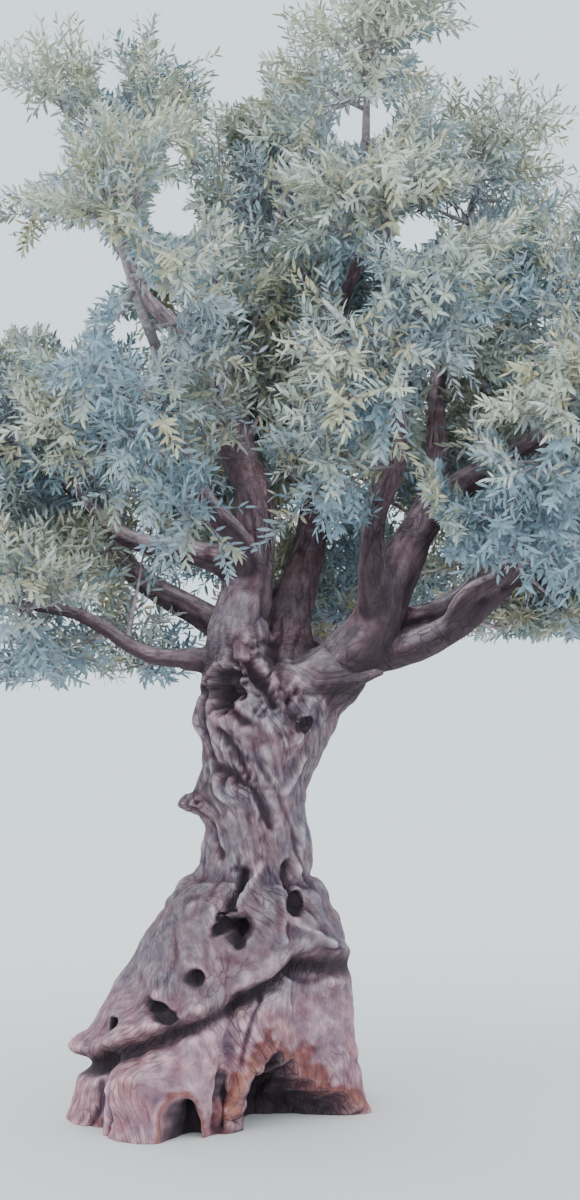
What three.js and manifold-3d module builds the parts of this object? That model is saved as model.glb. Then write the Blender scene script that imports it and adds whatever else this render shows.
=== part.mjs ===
// An old olive tree: a hollowed, twisted trunk on a spreading foot, its boughs and its masses of foliage.
// Millimetres. Z is up, X runs to the viewer's right and Y away from the viewer.
// The origin is the centre of the flat cut at ground level.
import * as THREE from 'three';
import { mergeVertices } from 'three/addons/utils/BufferGeometryUtils.js';
import Module from 'manifold-3d';

const wasm = await Module();
wasm.setup();

const { degToRad, lerp, smoothstep } = THREE.MathUtils;

// Space between two pieces that meet, and between a blade or twig and anything it doesn't grow from.
const GAP = 0.4;
const CLEARANCE = 26;

const BARK = { color: 0x8b8082, roughness: 0.9, metalness: 0 };
const FOLIAGE = { color: 0x8a9680, roughness: 0.65, metalness: 0 };

// The trunk: a dome of old wood at the foot, a twisted waist above it and a head that spreads to the fork.
// Angles in degrees run from +X towards +Y, so 270 faces the viewer.
const TRUNK = {
  height: 2290,
  sides: 32,
  levels: 28,
  strandOffset: 138,
  strandGirth: 120,
  footGirth: 250,
  core: 0.62,
  weld: 38,
  domeTop: 1120,
  domePower: 0.62,
  twist: -95,
  twistFrom: 500,
  lean: 110,
  leanFrom: 300,
  headFrom: 1500,
  headWidth: 0.7,
  headDepth: 0.2,
  headLean: 110,
  capHeight: 260,
  capClose: 0.75,
};

// The trunk is a bundle of strands. Each ends in a lobe of the foot, at this angle and this far out.
const STRANDS = [
  { angle: 234, reach: 800 },
  { angle: 192, reach: 790 },
  { angle: 142, reach: 620 },
  { angle: 92, reach: 680 },
  { angle: 44, reach: 765 },
  { angle: 2, reach: 620 },
  { angle: 318, reach: 420 },
  { angle: 276, reach: 500 },
];

// The lip that runs round the front of the foot, rising to the right, with the wood cut back under it.
const LEDGE = {
  from: 150, to: 372, fade: 28, drop: 55, recess: 95, ease: 0.55, easeTo: 420,
  bulge: 50, fall: 190,
};
const LEDGE_HEIGHTS = [
  { angle: 150, height: 290 },
  { angle: 200, height: 310 },
  { angle: 235, height: 450 },
  { angle: 270, height: 630 },
  { angle: 310, height: 780 },
  { angle: 372, height: 740 },
];

// Swellings of the bark, and hollows in it. Wide and tall are half sizes; a hollow's rim runs between
// the two shares of them.
const HOLLOW_RIM = { inner: 0.45, outer: 1.1 };
const BURLS = [
  { angle: 192, height: 1490, wide: 95, tall: 100, out: 95 },
  { angle: 345, height: 900, wide: 130, tall: 110, out: 35 },
  { angle: 250, height: 1560, wide: 110, tall: 90, out: 40 },
  { angle: 60, height: 1500, wide: 130, tall: 160, out: 55 },
  { angle: 120, height: 1000, wide: 160, tall: 150, out: 80 },
];
const HOLLOWS = [
  { angle: 248, height: 2050, wide: 90, tall: 150, deep: 90 },
  { angle: 286, height: 1980, wide: 60, tall: 110, deep: 50 },
  { angle: 258, height: 905, wide: 95, tall: 120, deep: 130 },
  { angle: 242, height: 700, wide: 60, tall: 40, deep: 60 },
  { angle: 226, height: 545, wide: 95, tall: 40, deep: 80 },
  { angle: 208, height: 455, wide: 50, tall: 34, deep: 50 },
  { angle: 312, height: 60, wide: 260, tall: 250, deep: 190 },
  { angle: 250, height: 40, wide: 60, tall: 220, deep: 150 },
  { angle: 70, height: 40, wide: 100, tall: 260, deep: 90 },
];

// The limbs. One from the trunk leaves it at a height, its foot standing out from the axis on one side.
// One from a bough leaves it at a share of that bough's length. Azimuth and rise give the first heading;
// turn and lift are how far the heading swings by the tip. Girth and tip are radii.
// A limb with a reach carries a mass of foliage of that radius.
const LIMBS = [
  { name: 'bough_right_main', height: 2000, side: 0, out: 110, azimuth: -2, rise: 50, turn: -8, lift: -4,
    phase: 0.43, length: 2150, girth: 165, tip: 38, reach: 950 },
  { name: 'bough_right_low', height: 1990, side: -18, out: 150, azimuth: -10, rise: 36, turn: 2, lift: -18,
    phase: 0.1, length: 1750, girth: 120, tip: 38, reach: 900 },
  { name: 'bough_left_up', height: 2080, side: 190, out: 170, azimuth: 188, rise: 82, turn: 0, lift: 14,
    phase: 0.62, length: 2100, girth: 160, tip: 36, reach: 950 },
  { name: 'bough_leader', height: 2120, side: 40, out: 60, azimuth: 62, rise: 68, turn: 30, lift: 18,
    phase: 0.2, length: 2600, girth: 130, tip: 34, reach: 950 },
  { name: 'bough_back', height: 2120, side: 106, out: 130, azimuth: 100, rise: 44, turn: 8, lift: 6,
    phase: 0.7, length: 1700, girth: 100, tip: 32, reach: 900 },
  { name: 'bough_right_back', height: 2110, side: 44, out: 150, azimuth: 42, rise: 42, turn: 6, lift: 4,
    phase: 0.3, length: 1900, girth: 105, tip: 32, reach: 900 },
  { name: 'bough_left_back', height: 2140, side: 148, out: 150, azimuth: 148, rise: 42, turn: -4, lift: 4,
    phase: 0.9, length: 1850, girth: 95, tip: 32, reach: 900 },
  { name: 'bough_left_low', height: 2170, side: 184, out: 250, azimuth: 181, rise: 16, turn: 4, lift: 6,
    phase: 0.2, length: 1050, girth: 55, tip: 30, reach: 850 },
  { name: 'bough_back_low', height: 2060, side: 76, out: 150, azimuth: 76, rise: 24, turn: -8, lift: 4,
    phase: 0.4, length: 1150, girth: 74, tip: 30, reach: 850 },
  { name: 'broken_stub', height: 2060, side: -24, out: 260, azimuth: -14, rise: 12, turn: 0, lift: -4,
    phase: 0, length: 330, girth: 60, tip: 18 },
  { name: 'fork_right_mid', parent: 'bough_right_main', at: 0.25, azimuth: 12, rise: 26, turn: 20, lift: 2,
    phase: 0.3, length: 1250, girth: 64, tip: 30, reach: 880 },
  { name: 'fork_front_right', parent: 'bough_right_main', at: 0.25, azimuth: 282, rise: 52, turn: -8,
    lift: 0, phase: 0.55, length: 1350, girth: 76, tip: 30, reach: 900 },
  { name: 'fork_right_low', parent: 'bough_right_low', at: 0.5, azimuth: -62, rise: 30, turn: -4, lift: 6,
    phase: 0.8, length: 850, girth: 54, tip: 30, reach: 850 },
  { name: 'fork_right_top', parent: 'bough_right_main', at: 0.5, azimuth: 50, rise: 74, turn: 10, lift: -6,
    phase: 0.5, length: 1500, girth: 70, tip: 30, reach: 900 },
  { name: 'fork_left_wide', parent: 'bough_left_up', at: 0.25, azimuth: 176, rise: 24, turn: -6, lift: 8,
    phase: 0.1, length: 1450, girth: 70, tip: 30, reach: 900 },
  { name: 'fork_front_left', parent: 'bough_left_up', at: 0.25, azimuth: 236, rise: 46, turn: 8, lift: 4,
    phase: 0.15, length: 1350, girth: 74, tip: 30, reach: 900 },
  { name: 'fork_left_top', parent: 'bough_left_up', at: 0.5, azimuth: 160, rise: 58, turn: 6, lift: 4,
    phase: 0.6, length: 1600, girth: 76, tip: 30, reach: 900 },
  { name: 'fork_front_top', parent: 'bough_leader', at: 0.5, azimuth: 288, rise: 54, turn: -4, lift: 6,
    phase: 0.4, length: 1500, girth: 66, tip: 30, reach: 900 },
];
const LIMB = { sides: 6, steps: 8, sway: 16, waves: 1.35, footFlare: 0.3, flareLength: 260, taper: 0.8 };

// A mass of foliage: twigs branch from one stem at a fixed turn, and each blade is a spray of leaves.
const STEM = { share: 0.78, centre: 0.26, steps: 3, girth: 0.9, taper: 0.4, lift: 12 };
const TWIG = {
  count: 8, first: 0.08, last: 0.9, turn: 137.5, length: 0.56, shorten: 0.25,
  radius: 18, elbow: 14, tip: 11, tries: 8, retry: 80, shrink: 0.92,
};
const TWIG_TESTS = [0.25, 0.5, 0.75, 1];
const TWIG_ANGLE = { first: 122, last: 42, spare: 12, lift: 12 };
const BLADE = {
  length: 620, width: 310, thickness: 16, sink: 15, angle: 52, least: 25, most: 90,
  tries: 12, shrink: 0.96, apart: 230,
};
const BLADE_PLACES = [0, 0.38, 0.76];
const SEED = { first: 101, step: 37 };

// Where a viewer stands, and the patches of sky seen through the crown, in degrees: bearing to the right,
// elevation, and half sizes. A patch with a depth is open only as far as that from the viewer.
const EYE = new THREE.Vector3(275, -8000, 1610);
const SKY = [
  { bearing: -8.7, elevation: 17.3, wide: 2.9, tall: 1.5 },
  { bearing: -2.8, elevation: 26.4, wide: 2.4, tall: 1.5 },
  { bearing: -2.0, elevation: 24.6, wide: 0.9, tall: 1.7 },
  { bearing: -6.6, elevation: 24.2, wide: 1.1, tall: 0.9 },
  { bearing: 5.2, elevation: 25.0, wide: 1.0, tall: 0.9 },
  { bearing: 2.7, elevation: 22.8, wide: 0.9, tall: 0.9 },
  { bearing: 4.7, elevation: 19.2, wide: 0.7, tall: 0.6 },
  { bearing: -4.6, elevation: 19.8, wide: 0.9, tall: 1.1 },
  { bearing: -9.7, elevation: 21.8, wide: 1.2, tall: 1.4 },
  { bearing: 0.4, elevation: 4.5, wide: 4.6, tall: 6.5, depth: 8300 },
];
// The underside of the crown, as the elevation at which the viewer sees it on the left and on the right.
const UNDERSIDE = { left: 3.3, right: 5.0, from: -3, to: 1 };

// A repeatable sequence of numbers from 0 to 1.
function seededRandom(seed) {
  let state = seed >>> 0;
  return () => {
    state = (Math.imul(state, 1664525) + 1013904223) >>> 0;
    return state / 4294967296;
  };
}

// The direction at an azimuth from +X towards +Y and a rise above level, in degrees.
function heading(azimuth, rise) {
  const [a, r] = [degToRad(azimuth), degToRad(rise)];
  return new THREE.Vector3(Math.cos(r) * Math.cos(a), Math.cos(r) * Math.sin(a), Math.sin(r));
}

// How far two angles in degrees lie apart, from -180 to 180.
const angleBetween = (a, b) => ((((a - b) % 360) + 540) % 360) - 180;

// The height of the lip's edge at an angle.
function ledgeHeight(angle) {
  const i = Math.max(1, LEDGE_HEIGHTS.findIndex((stop) => stop.angle >= angle));
  const [low, high] = [LEDGE_HEIGHTS[i - 1], LEDGE_HEIGHTS[i]];
  return lerp(low.height, high.height, (angle - low.angle) / (high.angle - low.angle));
}

// What the lip adds to the trunk's radius.
function ledgeRelief(angle, z) {
  const turned = angle < LEDGE.from ? angle + 360 : angle;
  if (turned > LEDGE.to) return 0;
  const strength =
    smoothstep(turned, LEDGE.from, LEDGE.from + LEDGE.fade) *
    (1 - smoothstep(turned, LEDGE.to - LEDGE.fade, LEDGE.to));
  const above = z - ledgeHeight(turned);
  const eased = 1 - LEDGE.ease * smoothstep(-above, LEDGE.drop, LEDGE.easeTo);
  const under = smoothstep(-above, 0, LEDGE.drop) * eased;
  const over = above > 0 ? Math.exp(-above / LEDGE.fall) : 1 - smoothstep(-above, 0, LEDGE.drop);
  return strength * (LEDGE.bulge * over - LEDGE.recess * under);
}

// How far a circle reaches from the origin in one direction, where that direction meets it.
function circleReach(offset, radius, turn) {
  const across = offset * Math.sin(turn);
  if (Math.abs(across) >= radius || Math.cos(turn) <= 0) return 0;
  return offset * Math.cos(turn) + Math.sqrt(radius * radius - across * across);
}

// The trunk's radius: its strands welded together, then the burls, the lip and the hollows.
function trunkRadius(angle, z) {
  const flare = Math.max(0, 1 - (z / TRUNK.domeTop) ** 2) ** TRUNK.domePower;
  const twist = TRUNK.twist * smoothstep(z, TRUNK.twistFrom, TRUNK.height);
  const girth = lerp(TRUNK.strandGirth, TRUNK.footGirth, flare);
  let sum = 0;
  let mean = 0;
  for (const strand of STRANDS) {
    const offset = lerp(TRUNK.strandOffset, strand.reach - TRUNK.footGirth, flare);
    const turn = degToRad(angleBetween(angle, strand.angle + twist));
    sum += Math.exp(circleReach(offset, girth, turn) / TRUNK.weld);
    mean += (offset + girth) / STRANDS.length;
  }
  sum += Math.exp((TRUNK.core * mean) / TRUNK.weld);
  let radius = TRUNK.weld * Math.log(sum);
  for (const burl of BURLS) {
    const across = (degToRad(angleBetween(angle, burl.angle)) * mean) / burl.wide;
    const up = (z - burl.height) / burl.tall;
    radius += burl.out * Math.exp(-across * across - up * up);
  }
  radius += ledgeRelief(angle, z);
  for (const hollow of HOLLOWS) {
    const across = (degToRad(angleBetween(angle, hollow.angle)) * mean) / hollow.wide;
    const up = (z - hollow.height) / hollow.tall;
    radius -= hollow.deep * (1 - smoothstep(Math.hypot(across, up), HOLLOW_RIM.inner, HOLLOW_RIM.outer));
  }
  return radius;
}

// The trunk's axis leans to the right above the foot, and again in the head.
const trunkAxis = (z) =>
  TRUNK.lean * smoothstep(z, TRUNK.leanFrom, TRUNK.domeTop) +
  TRUNK.headLean * smoothstep(z, TRUNK.headFrom, TRUNK.height);

// A cylinder along Z from 0 to 1, with a radius of 1, whose vertices a function then puts in place.
function shapedCylinder(sides, steps, place) {
  const geometry = new THREE.CylinderGeometry(1, 1, 1, sides, steps).rotateX(Math.PI / 2);
  const position = geometry.attributes.position;
  const vertex = new THREE.Vector3();
  for (let i = 0; i < position.count; i++) {
    vertex.fromBufferAttribute(position, i);
    position.setXYZ(i, ...place(vertex.x, vertex.y, vertex.z + 0.5).toArray());
  }
  return geometry;
}

// The trunk, thicker all round by grow.
function trunkGeometry(grow = 0) {
  return shapedCylinder(TRUNK.sides, TRUNK.levels, (x, y, level) => {
    const z = level * TRUNK.height;
    const cap = Math.max(0, (z - TRUNK.height + TRUNK.capHeight) / TRUNK.capHeight);
    const close = Math.sqrt(1 - TRUNK.capClose * cap * cap);
    const head = smoothstep(z, TRUNK.headFrom, TRUNK.height);
    const angle = (THREE.MathUtils.radToDeg(Math.atan2(y, x)) + 360) % 360;
    const radius = (trunkRadius(angle, z) * close + grow) * Math.hypot(x, y);
    const wide = 1 + TRUNK.headWidth * head;
    const deep = 1 + TRUNK.headDepth * head;
    const flat = heading(angle, 0).multiply(new THREE.Vector3(wide, deep, 0)).multiplyScalar(radius);
    return flat.add(new THREE.Vector3(trunkAxis(z), 0, z + (2 * level - 1) * grow));
  });
}

// The points of a limb, from its foot along a heading that swings as it goes.
function limbPoints(foot, limb) {
  const points = [foot.clone()];
  for (let i = 0; i < LIMB.steps; i++) {
    const t = (i + 0.5) / LIMB.steps;
    const wave = 2 * Math.PI * (LIMB.waves * t + limb.phase);
    const azimuth = limb.azimuth + limb.turn * t + LIMB.sway * Math.sin(wave);
    const rise = limb.rise + limb.lift * t + LIMB.sway * Math.cos(wave + limb.phase);
    points.push(points[i].clone().addScaledVector(heading(azimuth, rise), limb.length / LIMB.steps));
  }
  return points;
}

// The direction of a line of points at each of them.
function tangents(points) {
  const last = points.length - 1;
  return points.map((_, i) =>
    points[Math.min(i + 1, last)].clone().sub(points[Math.max(i - 1, 0)]).normalize());
}

// A tube with flat ends along a line of points, with a radius for each point.
function tubeGeometry(points, radii, sides) {
  const along = tangents(points);
  const acrossAt = [];
  let across = new THREE.Vector3(0, 0, 1).cross(along[0]);
  if (across.length() < 0.1) across = new THREE.Vector3(1, 0, 0).cross(along[0]);
  for (const tangent of along) {
    across = across.clone().addScaledVector(tangent, -across.dot(tangent)).normalize();
    acrossAt.push(across);
  }
  const steps = points.length - 1;
  return shapedCylinder(sides, steps, (x, y, level) => {
    const i = Math.round(level * steps);
    const up = along[i].clone().cross(acrossAt[i]);
    return points[i].clone().addScaledVector(acrossAt[i], x * radii[i]).addScaledVector(up, y * radii[i]);
  });
}

// The radii of a limb at its points, flared at the foot.
function limbRadii(limb, grow = 0) {
  return Array.from({ length: LIMB.steps + 1 }, (_, i) => {
    const t = i / LIMB.steps;
    const flare = LIMB.footFlare * limb.girth * Math.exp((-t * limb.length) / LIMB.flareLength);
    return lerp(limb.girth, limb.tip, t ** LIMB.taper) + flare + grow;
  });
}

function solidOf(geometry) {
  const bare = geometry.clone();
  bare.deleteAttribute('normal');
  bare.deleteAttribute('uv');
  const merged = bare.index ? mergeVertices(bare, 1e-3) : mergeVertices(bare);
  return new wasm.Manifold(new wasm.Mesh({
    numProp: 3,
    vertProperties: merged.attributes.position.array,
    triVerts: new Uint32Array(merged.index.array),
  }));
}

// The largest closed body of a solid, without the scraps and sealed hollows that joining can leave.
function mainBody(solid) {
  return solid.decompose().reduce((best, body) => (body.volume() > best.volume() ? body : best));
}

function meshOf(name, solid, finish) {
  const made = solid.getMesh();
  const geometry = new THREE.BufferGeometry();
  const positions = new Float32Array(made.numVert * 3);
  for (let i = 0; i < made.numVert; i++) {
    positions.set(made.vertProperties.subarray(i * made.numProp, i * made.numProp + 3), i * 3);
  }
  geometry.setAttribute('position', new THREE.BufferAttribute(positions, 3));
  geometry.setIndex(new THREE.BufferAttribute(new Uint32Array(made.triVerts), 1));
  geometry.computeVertexNormals();
  const mesh = new THREE.Mesh(geometry, new THREE.MeshStandardMaterial(finish));
  mesh.name = name;
  return mesh;
}

// The line and the radii of every limb, each from the trunk or from a bough that is already laid out.
function layOutLimbs() {
  const laid = new Map();
  for (const limb of LIMBS) {
    let foot;
    if (limb.parent) {
      const parent = laid.get(limb.parent);
      foot = parent.points[Math.round(limb.at * LIMB.steps)].clone();
    } else {
      foot = heading(limb.side, 0).multiplyScalar(limb.out);
      foot.add(new THREE.Vector3(trunkAxis(limb.height), 0, limb.height));
    }
    laid.set(limb.name, { ...limb, points: limbPoints(foot, limb), radii: limbRadii(limb) });
  }
  return [...laid.values()];
}

// The stem of a mass starts just clear of its bough's tip and goes on in the same direction.
function layOutMass(limb, index) {
  const last = limb.points.length - 1;
  const tip = limb.points[last];
  const direction = tangents(limb.points)[last];
  const start = tip.clone().addScaledVector(direction, GAP);
  const length = STEM.share * limb.reach;
  const points = [start];
  for (let i = 0; i < STEM.steps; i++) {
    const up = new THREE.Vector3(0, 0, Math.tan(degToRad(STEM.lift)) * (i ? 1 : 0));
    const along = direction.clone().add(up).normalize();
    points.push(points[i].clone().addScaledVector(along, length / STEM.steps));
  }
  const radii = points.map((_, i) => limb.tip * lerp(STEM.girth, STEM.taper, i / STEM.steps));
  const centre = start.clone().addScaledVector(direction, STEM.centre * limb.reach);
  const name = limb.name.replace('bough', 'foliage').replace('fork', 'foliage_fork');
  return { name, reach: limb.reach, centre, points, radii, seed: SEED.first + SEED.step * index };
}

function distanceToLine(point, start, end) {
  const line = new THREE.Line3(start, end);
  return line.closestPointToPoint(point, true, new THREE.Vector3()).distanceTo(point);
}

// True where a point lies clear of every limb and of every other mass's stem.
function clearOfLimbs(point, obstacles, spare) {
  return obstacles.every(({ points, radii }) =>
    points.slice(1).every((end, i) => distanceToLine(point, points[i], end) > radii[i] + spare));
}

// True where a point lies on this mass's side of the planes that part it from every other mass.
function insideCell(point, mass, masses) {
  const reachOf = (other) => point.distanceToSquared(other.centre) - other.reach * other.reach;
  return masses.every((other) =>
    other === mass ||
    reachOf(other) - reachOf(mass) > 2 * CLEARANCE * other.centre.distanceTo(mass.centre));
}

// True where the viewer sees the point against the crown, and not in a patch of sky or below the crown.
function seenInCrown(point) {
  const sight = point.clone().sub(EYE);
  const ahead = Math.hypot(sight.x, sight.y);
  const bearing = THREE.MathUtils.radToDeg(Math.atan2(sight.x, sight.y));
  const elevation = THREE.MathUtils.radToDeg(Math.atan2(sight.z, ahead));
  const across = smoothstep(bearing, UNDERSIDE.from, UNDERSIDE.to);
  if (elevation < lerp(UNDERSIDE.left, UNDERSIDE.right, across)) return false;
  return SKY.every((patch) =>
    Math.hypot((bearing - patch.bearing) / patch.wide, (elevation - patch.elevation) / patch.tall) > 1 ||
    ahead > (patch.depth ?? Infinity));
}

// True where every point keeps to the mass's reach and cell, to the crown as seen, and off the limbs.
function fits(points, mass, masses, obstacles, spare) {
  return points.every((point) =>
    point.distanceTo(mass.centre) < mass.reach &&
    insideCell(point, mass, masses) &&
    seenInCrown(point) &&
    clearOfLimbs(point, obstacles, spare));
}

// One blade: its middle, its three axes, and points spread over its outline and face.
function layOutBlade(root, direction, normal, size) {
  const side = direction.clone().cross(normal).normalize();
  const length = size * BLADE.length;
  const width = size * BLADE.width;
  const middle = root.clone().addScaledVector(direction, length / 2 - BLADE.sink);
  const points = [-0.5, 0, 0.5, 1].flatMap((along) =>
    [-1, 0, 1].map((across) =>
      middle.clone()
        .addScaledVector(direction, (along * length) / 2)
        .addScaledVector(side, (across * (1 - Math.abs(along)) * width) / 2)));
  return { middle, direction, side, normal: side.clone().cross(direction), length, width, points };
}

function bladeGeometry({ middle, direction, side, normal, length, width }) {
  const matrix = new THREE.Matrix4().makeBasis(
    side.clone().multiplyScalar(width / 2),
    direction.clone().multiplyScalar(length / 2),
    normal.clone().multiplyScalar(BLADE.thickness / 2),
  ).setPosition(middle);
  return new THREE.OctahedronGeometry(1).applyMatrix4(matrix);
}

// Twigs leave the stem at a fixed turn, bend upward, and bear a blade at the tip and blades on both sides.
// A twig or blade that doesn't fit is turned, and made a little smaller, until it does or is left out.
function growMass(mass, masses, limbs) {
  const random = seededRandom(mass.seed);
  const obstacles = limbs.concat(masses.filter((other) => other !== mass));
  const isFree = (points) => fits(points, mass, masses, obstacles, CLEARANCE);
  const stemWay = tangents(mass.points);
  const up = new THREE.Vector3(0, 0, 1);
  const solids = [solidOf(tubeGeometry(mass.points, mass.radii, 3))];
  const middles = [];

  const findBlade = (root, along, angle) => {
    for (let attempt = 0; attempt < BLADE.tries; attempt++) {
      const tilt = degToRad(lerp(BLADE.least, BLADE.most, random()));
      const normal = up.clone().multiplyScalar(Math.cos(tilt));
      normal.addScaledVector(heading(360 * random(), 0), Math.sin(tilt));
      normal.addScaledVector(along, -normal.dot(along)).normalize();
      const direction = along.clone().applyAxisAngle(normal, degToRad(angle * (attempt % 2 ? -1 : 1)));
      const blade = layOutBlade(root, direction, normal, BLADE.shrink ** attempt);
      if (middles.some((middle) => middle.distanceTo(blade.middle) < BLADE.apart)) continue;
      if (!isFree(blade.points)) continue;
      middles.push(blade.middle);
      return [bladeGeometry(blade)];
    }
    return [];
  };

  const findTwig = (root, way, turn, angle, full) => {
    const across = way.clone().cross(up).normalize();
    for (let attempt = 0; attempt < TWIG.tries; attempt++) {
      const outward = across.clone().applyAxisAngle(way, degToRad(turn + TWIG.retry * attempt));
      const direction = way.clone().multiplyScalar(Math.cos(angle));
      direction.addScaledVector(outward, Math.sin(angle));
      const bent = direction.clone().addScaledVector(up, Math.tan(degToRad(TWIG_ANGLE.lift))).normalize();
      const length = full * TWIG.shrink ** attempt;
      const elbow = root.clone().addScaledVector(direction, length / 2);
      const tip = elbow.clone().addScaledVector(bent, length / 2);
      const ends = [[root, elbow], [elbow, tip]];
      if (!isFree(ends.flatMap(([a, b]) => TWIG_TESTS.map((share) => a.clone().lerp(b, share))))) continue;
      const end = findBlade(tip, bent, 0);
      if (!end.length) continue;
      const sides = BLADE_PLACES.flatMap((place, j) =>
        findBlade(elbow.clone().lerp(tip, place), bent, j % 2 ? BLADE.angle : -BLADE.angle));
      const twig = tubeGeometry([root, elbow, tip], [TWIG.radius, TWIG.elbow, TWIG.tip], 3);
      return [twig, ...end, ...sides];
    }
    return [];
  };

  for (let k = 0; k < TWIG.count; k++) {
    const along = k / (TWIG.count - 1);
    const share = lerp(TWIG.first, TWIG.last, along) * STEM.steps;
    const i = Math.floor(share);
    const root = mass.points[i].clone().lerp(mass.points[i + 1], share - i);
    const angle = lerp(TWIG_ANGLE.first, TWIG_ANGLE.last, along) + TWIG_ANGLE.spare * (random() - 0.5);
    const full = TWIG.length * mass.reach * (1 - TWIG.shorten * along);
    const turn = TWIG.turn * k + mass.seed;
    solids.push(...findTwig(root, stemWay[i], turn, degToRad(angle), full).map(solidOf));
  }
  solids.push(...findBlade(mass.points[STEM.steps], stemWay[STEM.steps], 0).map(solidOf));
  return mainBody(solids.reduce((whole, solid) => whole.add(solid)));
}

const tree = new THREE.Group();
const limbs = layOutLimbs();
const masses = limbs.filter((limb) => limb.reach).map(layOutMass);

tree.add(meshOf('trunk', solidOf(trunkGeometry()), BARK));

// Each limb is cut clear of the trunk and of the limbs before it.
let taken = solidOf(trunkGeometry(GAP));
for (const limb of limbs) {
  const whole = solidOf(tubeGeometry(limb.points, limb.radii, LIMB.sides));
  tree.add(meshOf(limb.name, mainBody(whole.subtract(taken)), BARK));
  taken = taken.add(solidOf(tubeGeometry(limb.points, limbRadii(limb, GAP), LIMB.sides)));
}

for (const mass of masses) {
  tree.add(meshOf(mass.name, growMass(mass, masses, limbs), FOLIAGE));
}

export default tree;
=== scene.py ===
"""An old olive tree: a gnarled trunk and boughs with their bark, and a crown of fine twigs and leaves.

Metres and degrees. Z is up, X runs to the viewer's right and Y away from the viewer. The origin is on the
ground, under the foot of the trunk. Angles run from +X towards +Y, so 270 faces the viewer.
"""

import math
from types import SimpleNamespace as Values

import bmesh
import bpy
import numpy as np
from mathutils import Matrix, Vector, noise


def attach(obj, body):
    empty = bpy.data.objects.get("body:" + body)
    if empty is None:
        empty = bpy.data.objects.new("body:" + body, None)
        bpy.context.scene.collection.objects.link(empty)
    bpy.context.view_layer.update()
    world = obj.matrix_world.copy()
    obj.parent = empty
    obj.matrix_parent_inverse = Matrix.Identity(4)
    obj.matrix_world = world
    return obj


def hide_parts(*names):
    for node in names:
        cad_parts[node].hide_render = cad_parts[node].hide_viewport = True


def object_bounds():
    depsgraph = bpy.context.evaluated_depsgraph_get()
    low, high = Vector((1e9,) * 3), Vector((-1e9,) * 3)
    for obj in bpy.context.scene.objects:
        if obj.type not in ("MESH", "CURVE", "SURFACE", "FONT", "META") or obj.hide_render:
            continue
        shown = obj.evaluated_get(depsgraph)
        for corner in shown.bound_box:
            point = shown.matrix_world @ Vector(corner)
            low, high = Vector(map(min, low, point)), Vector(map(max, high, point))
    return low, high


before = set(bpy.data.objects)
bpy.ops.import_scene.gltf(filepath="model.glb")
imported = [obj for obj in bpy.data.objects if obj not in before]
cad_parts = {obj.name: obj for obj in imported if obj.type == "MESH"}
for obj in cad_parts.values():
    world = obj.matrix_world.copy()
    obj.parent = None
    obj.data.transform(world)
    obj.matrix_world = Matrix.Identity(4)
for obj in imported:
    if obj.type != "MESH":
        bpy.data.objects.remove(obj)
CAD_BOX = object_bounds()

# The camera stands where the painter stood and looks up a little.
EYE = np.array([0.275, -8.0, 1.61])
CAMERA = Values(pitch=6.348, lens=48.0, sensor=36.0)
UP = np.array([0, 0, 1.0])

# The trunk: a dome of old wood at the foot, a twisted waist above it and a head that spreads to the fork.
TRUNK = Values(
    height=2.29, strand_offset=0.138, strand_girth=0.12, foot_girth=0.25, core=0.62, weld=0.03, least=0.08,
    dome_top=1.12, dome_power=0.62, twist=-95, twist_from=0.5, lean=0.11, lean_from=0.3, top=2.24,
    head_from=1.5, head_width=0.7, head_depth=0.2, head_lean=0.11, cap_height=0.45,
)
# Above the lip the old wood is one smooth dome, and at the ground it spreads a little.
DOME = Values(weld=0.085, inflate=2.5, edge=0.1, heights=(0.9, 1.12))
SPREAD = Values(out=0.05, fall=0.11)
TRUNK_GRID = Values(sides=400, levels=280, below=0.08)
# Each strand of the trunk ends in a lobe of the foot, at this angle and this far out.
STRANDS = [
    (234, 0.80), (192, 0.79), (142, 0.62), (92, 0.68), (44, 0.765), (2, 0.62), (318, 0.42), (276, 0.50),
]
STRAND_FALL = 2.5
# The strands weave a little from side to side on their way up.
WEAVE = Values(swing=9, around=1.1, along=1.5)

# The lip that runs round the front of the foot, rising to the right, with the wood cut back under it.
# A hump is given as its size, where its middle is and how wide it is.
LEDGE = Values(first=150, last=366, fade=34, roll=(0.05, 0.04, 0.06), crease=(0.085, -0.05, 0.042),
               step=0.03, step_tall=0.1)
LEDGE_ANGLES = [150, 200, 235, 270, 310, 372, 510]
LEDGE_HEIGHTS = [0.29, 0.31, 0.45, 0.63, 0.78, 0.74, 0.29]

# Swellings of the bark and hollows in it: angle, height, half width, half height, and how far out or in.
# Some hollows also slope down to the right, by this many degrees.
BURLS = [
    (192, 1.475, 0.09, 0.1, 0.15), (250, 1.56, 0.11, 0.09, 0.045), (60, 1.5, 0.13, 0.16, 0.055),
    (120, 1.0, 0.16, 0.15, 0.08), (240, 1.4, 0.07, 0.08, 0.025), (322, 1.3, 0.05, 0.1, 0.025),
    (300, 1.79, 0.05, 0.05, 0.035), (286, 1.02, 0.07, 0.1, 0.03), (318, 0.93, 0.09, 0.06, 0.03),
    (352, 0.98, 0.16, 0.12, -0.04), (206, 0.5, 0.1, 0.08, 0.03), (232, 0.66, 0.12, 0.1, 0.025),
    (225, 0.2, 0.06, 0.1, 0.03), (236, 0.28, 0.07, 0.08, 0.03), (335, 0.45, 0.07, 0.16, 0.03),
    (205, 1.9, 0.07, 0.12, 0.03), (84, 0.72, 0.12, 0.11, 0.05), (150, 0.62, 0.11, 0.13, 0.05),
    (30, 0.48, 0.1, 0.13, 0.05), (104, 1.34, 0.07, 0.09, 0.05), (146, 1.68, 0.08, 0.1, 0.05),
    (30, 1.2, 0.1, 0.08, 0.05), (172, 1.12, 0.08, 0.09, 0.045), (62, 1.02, 0.1, 0.1, 0.05),
]
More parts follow.
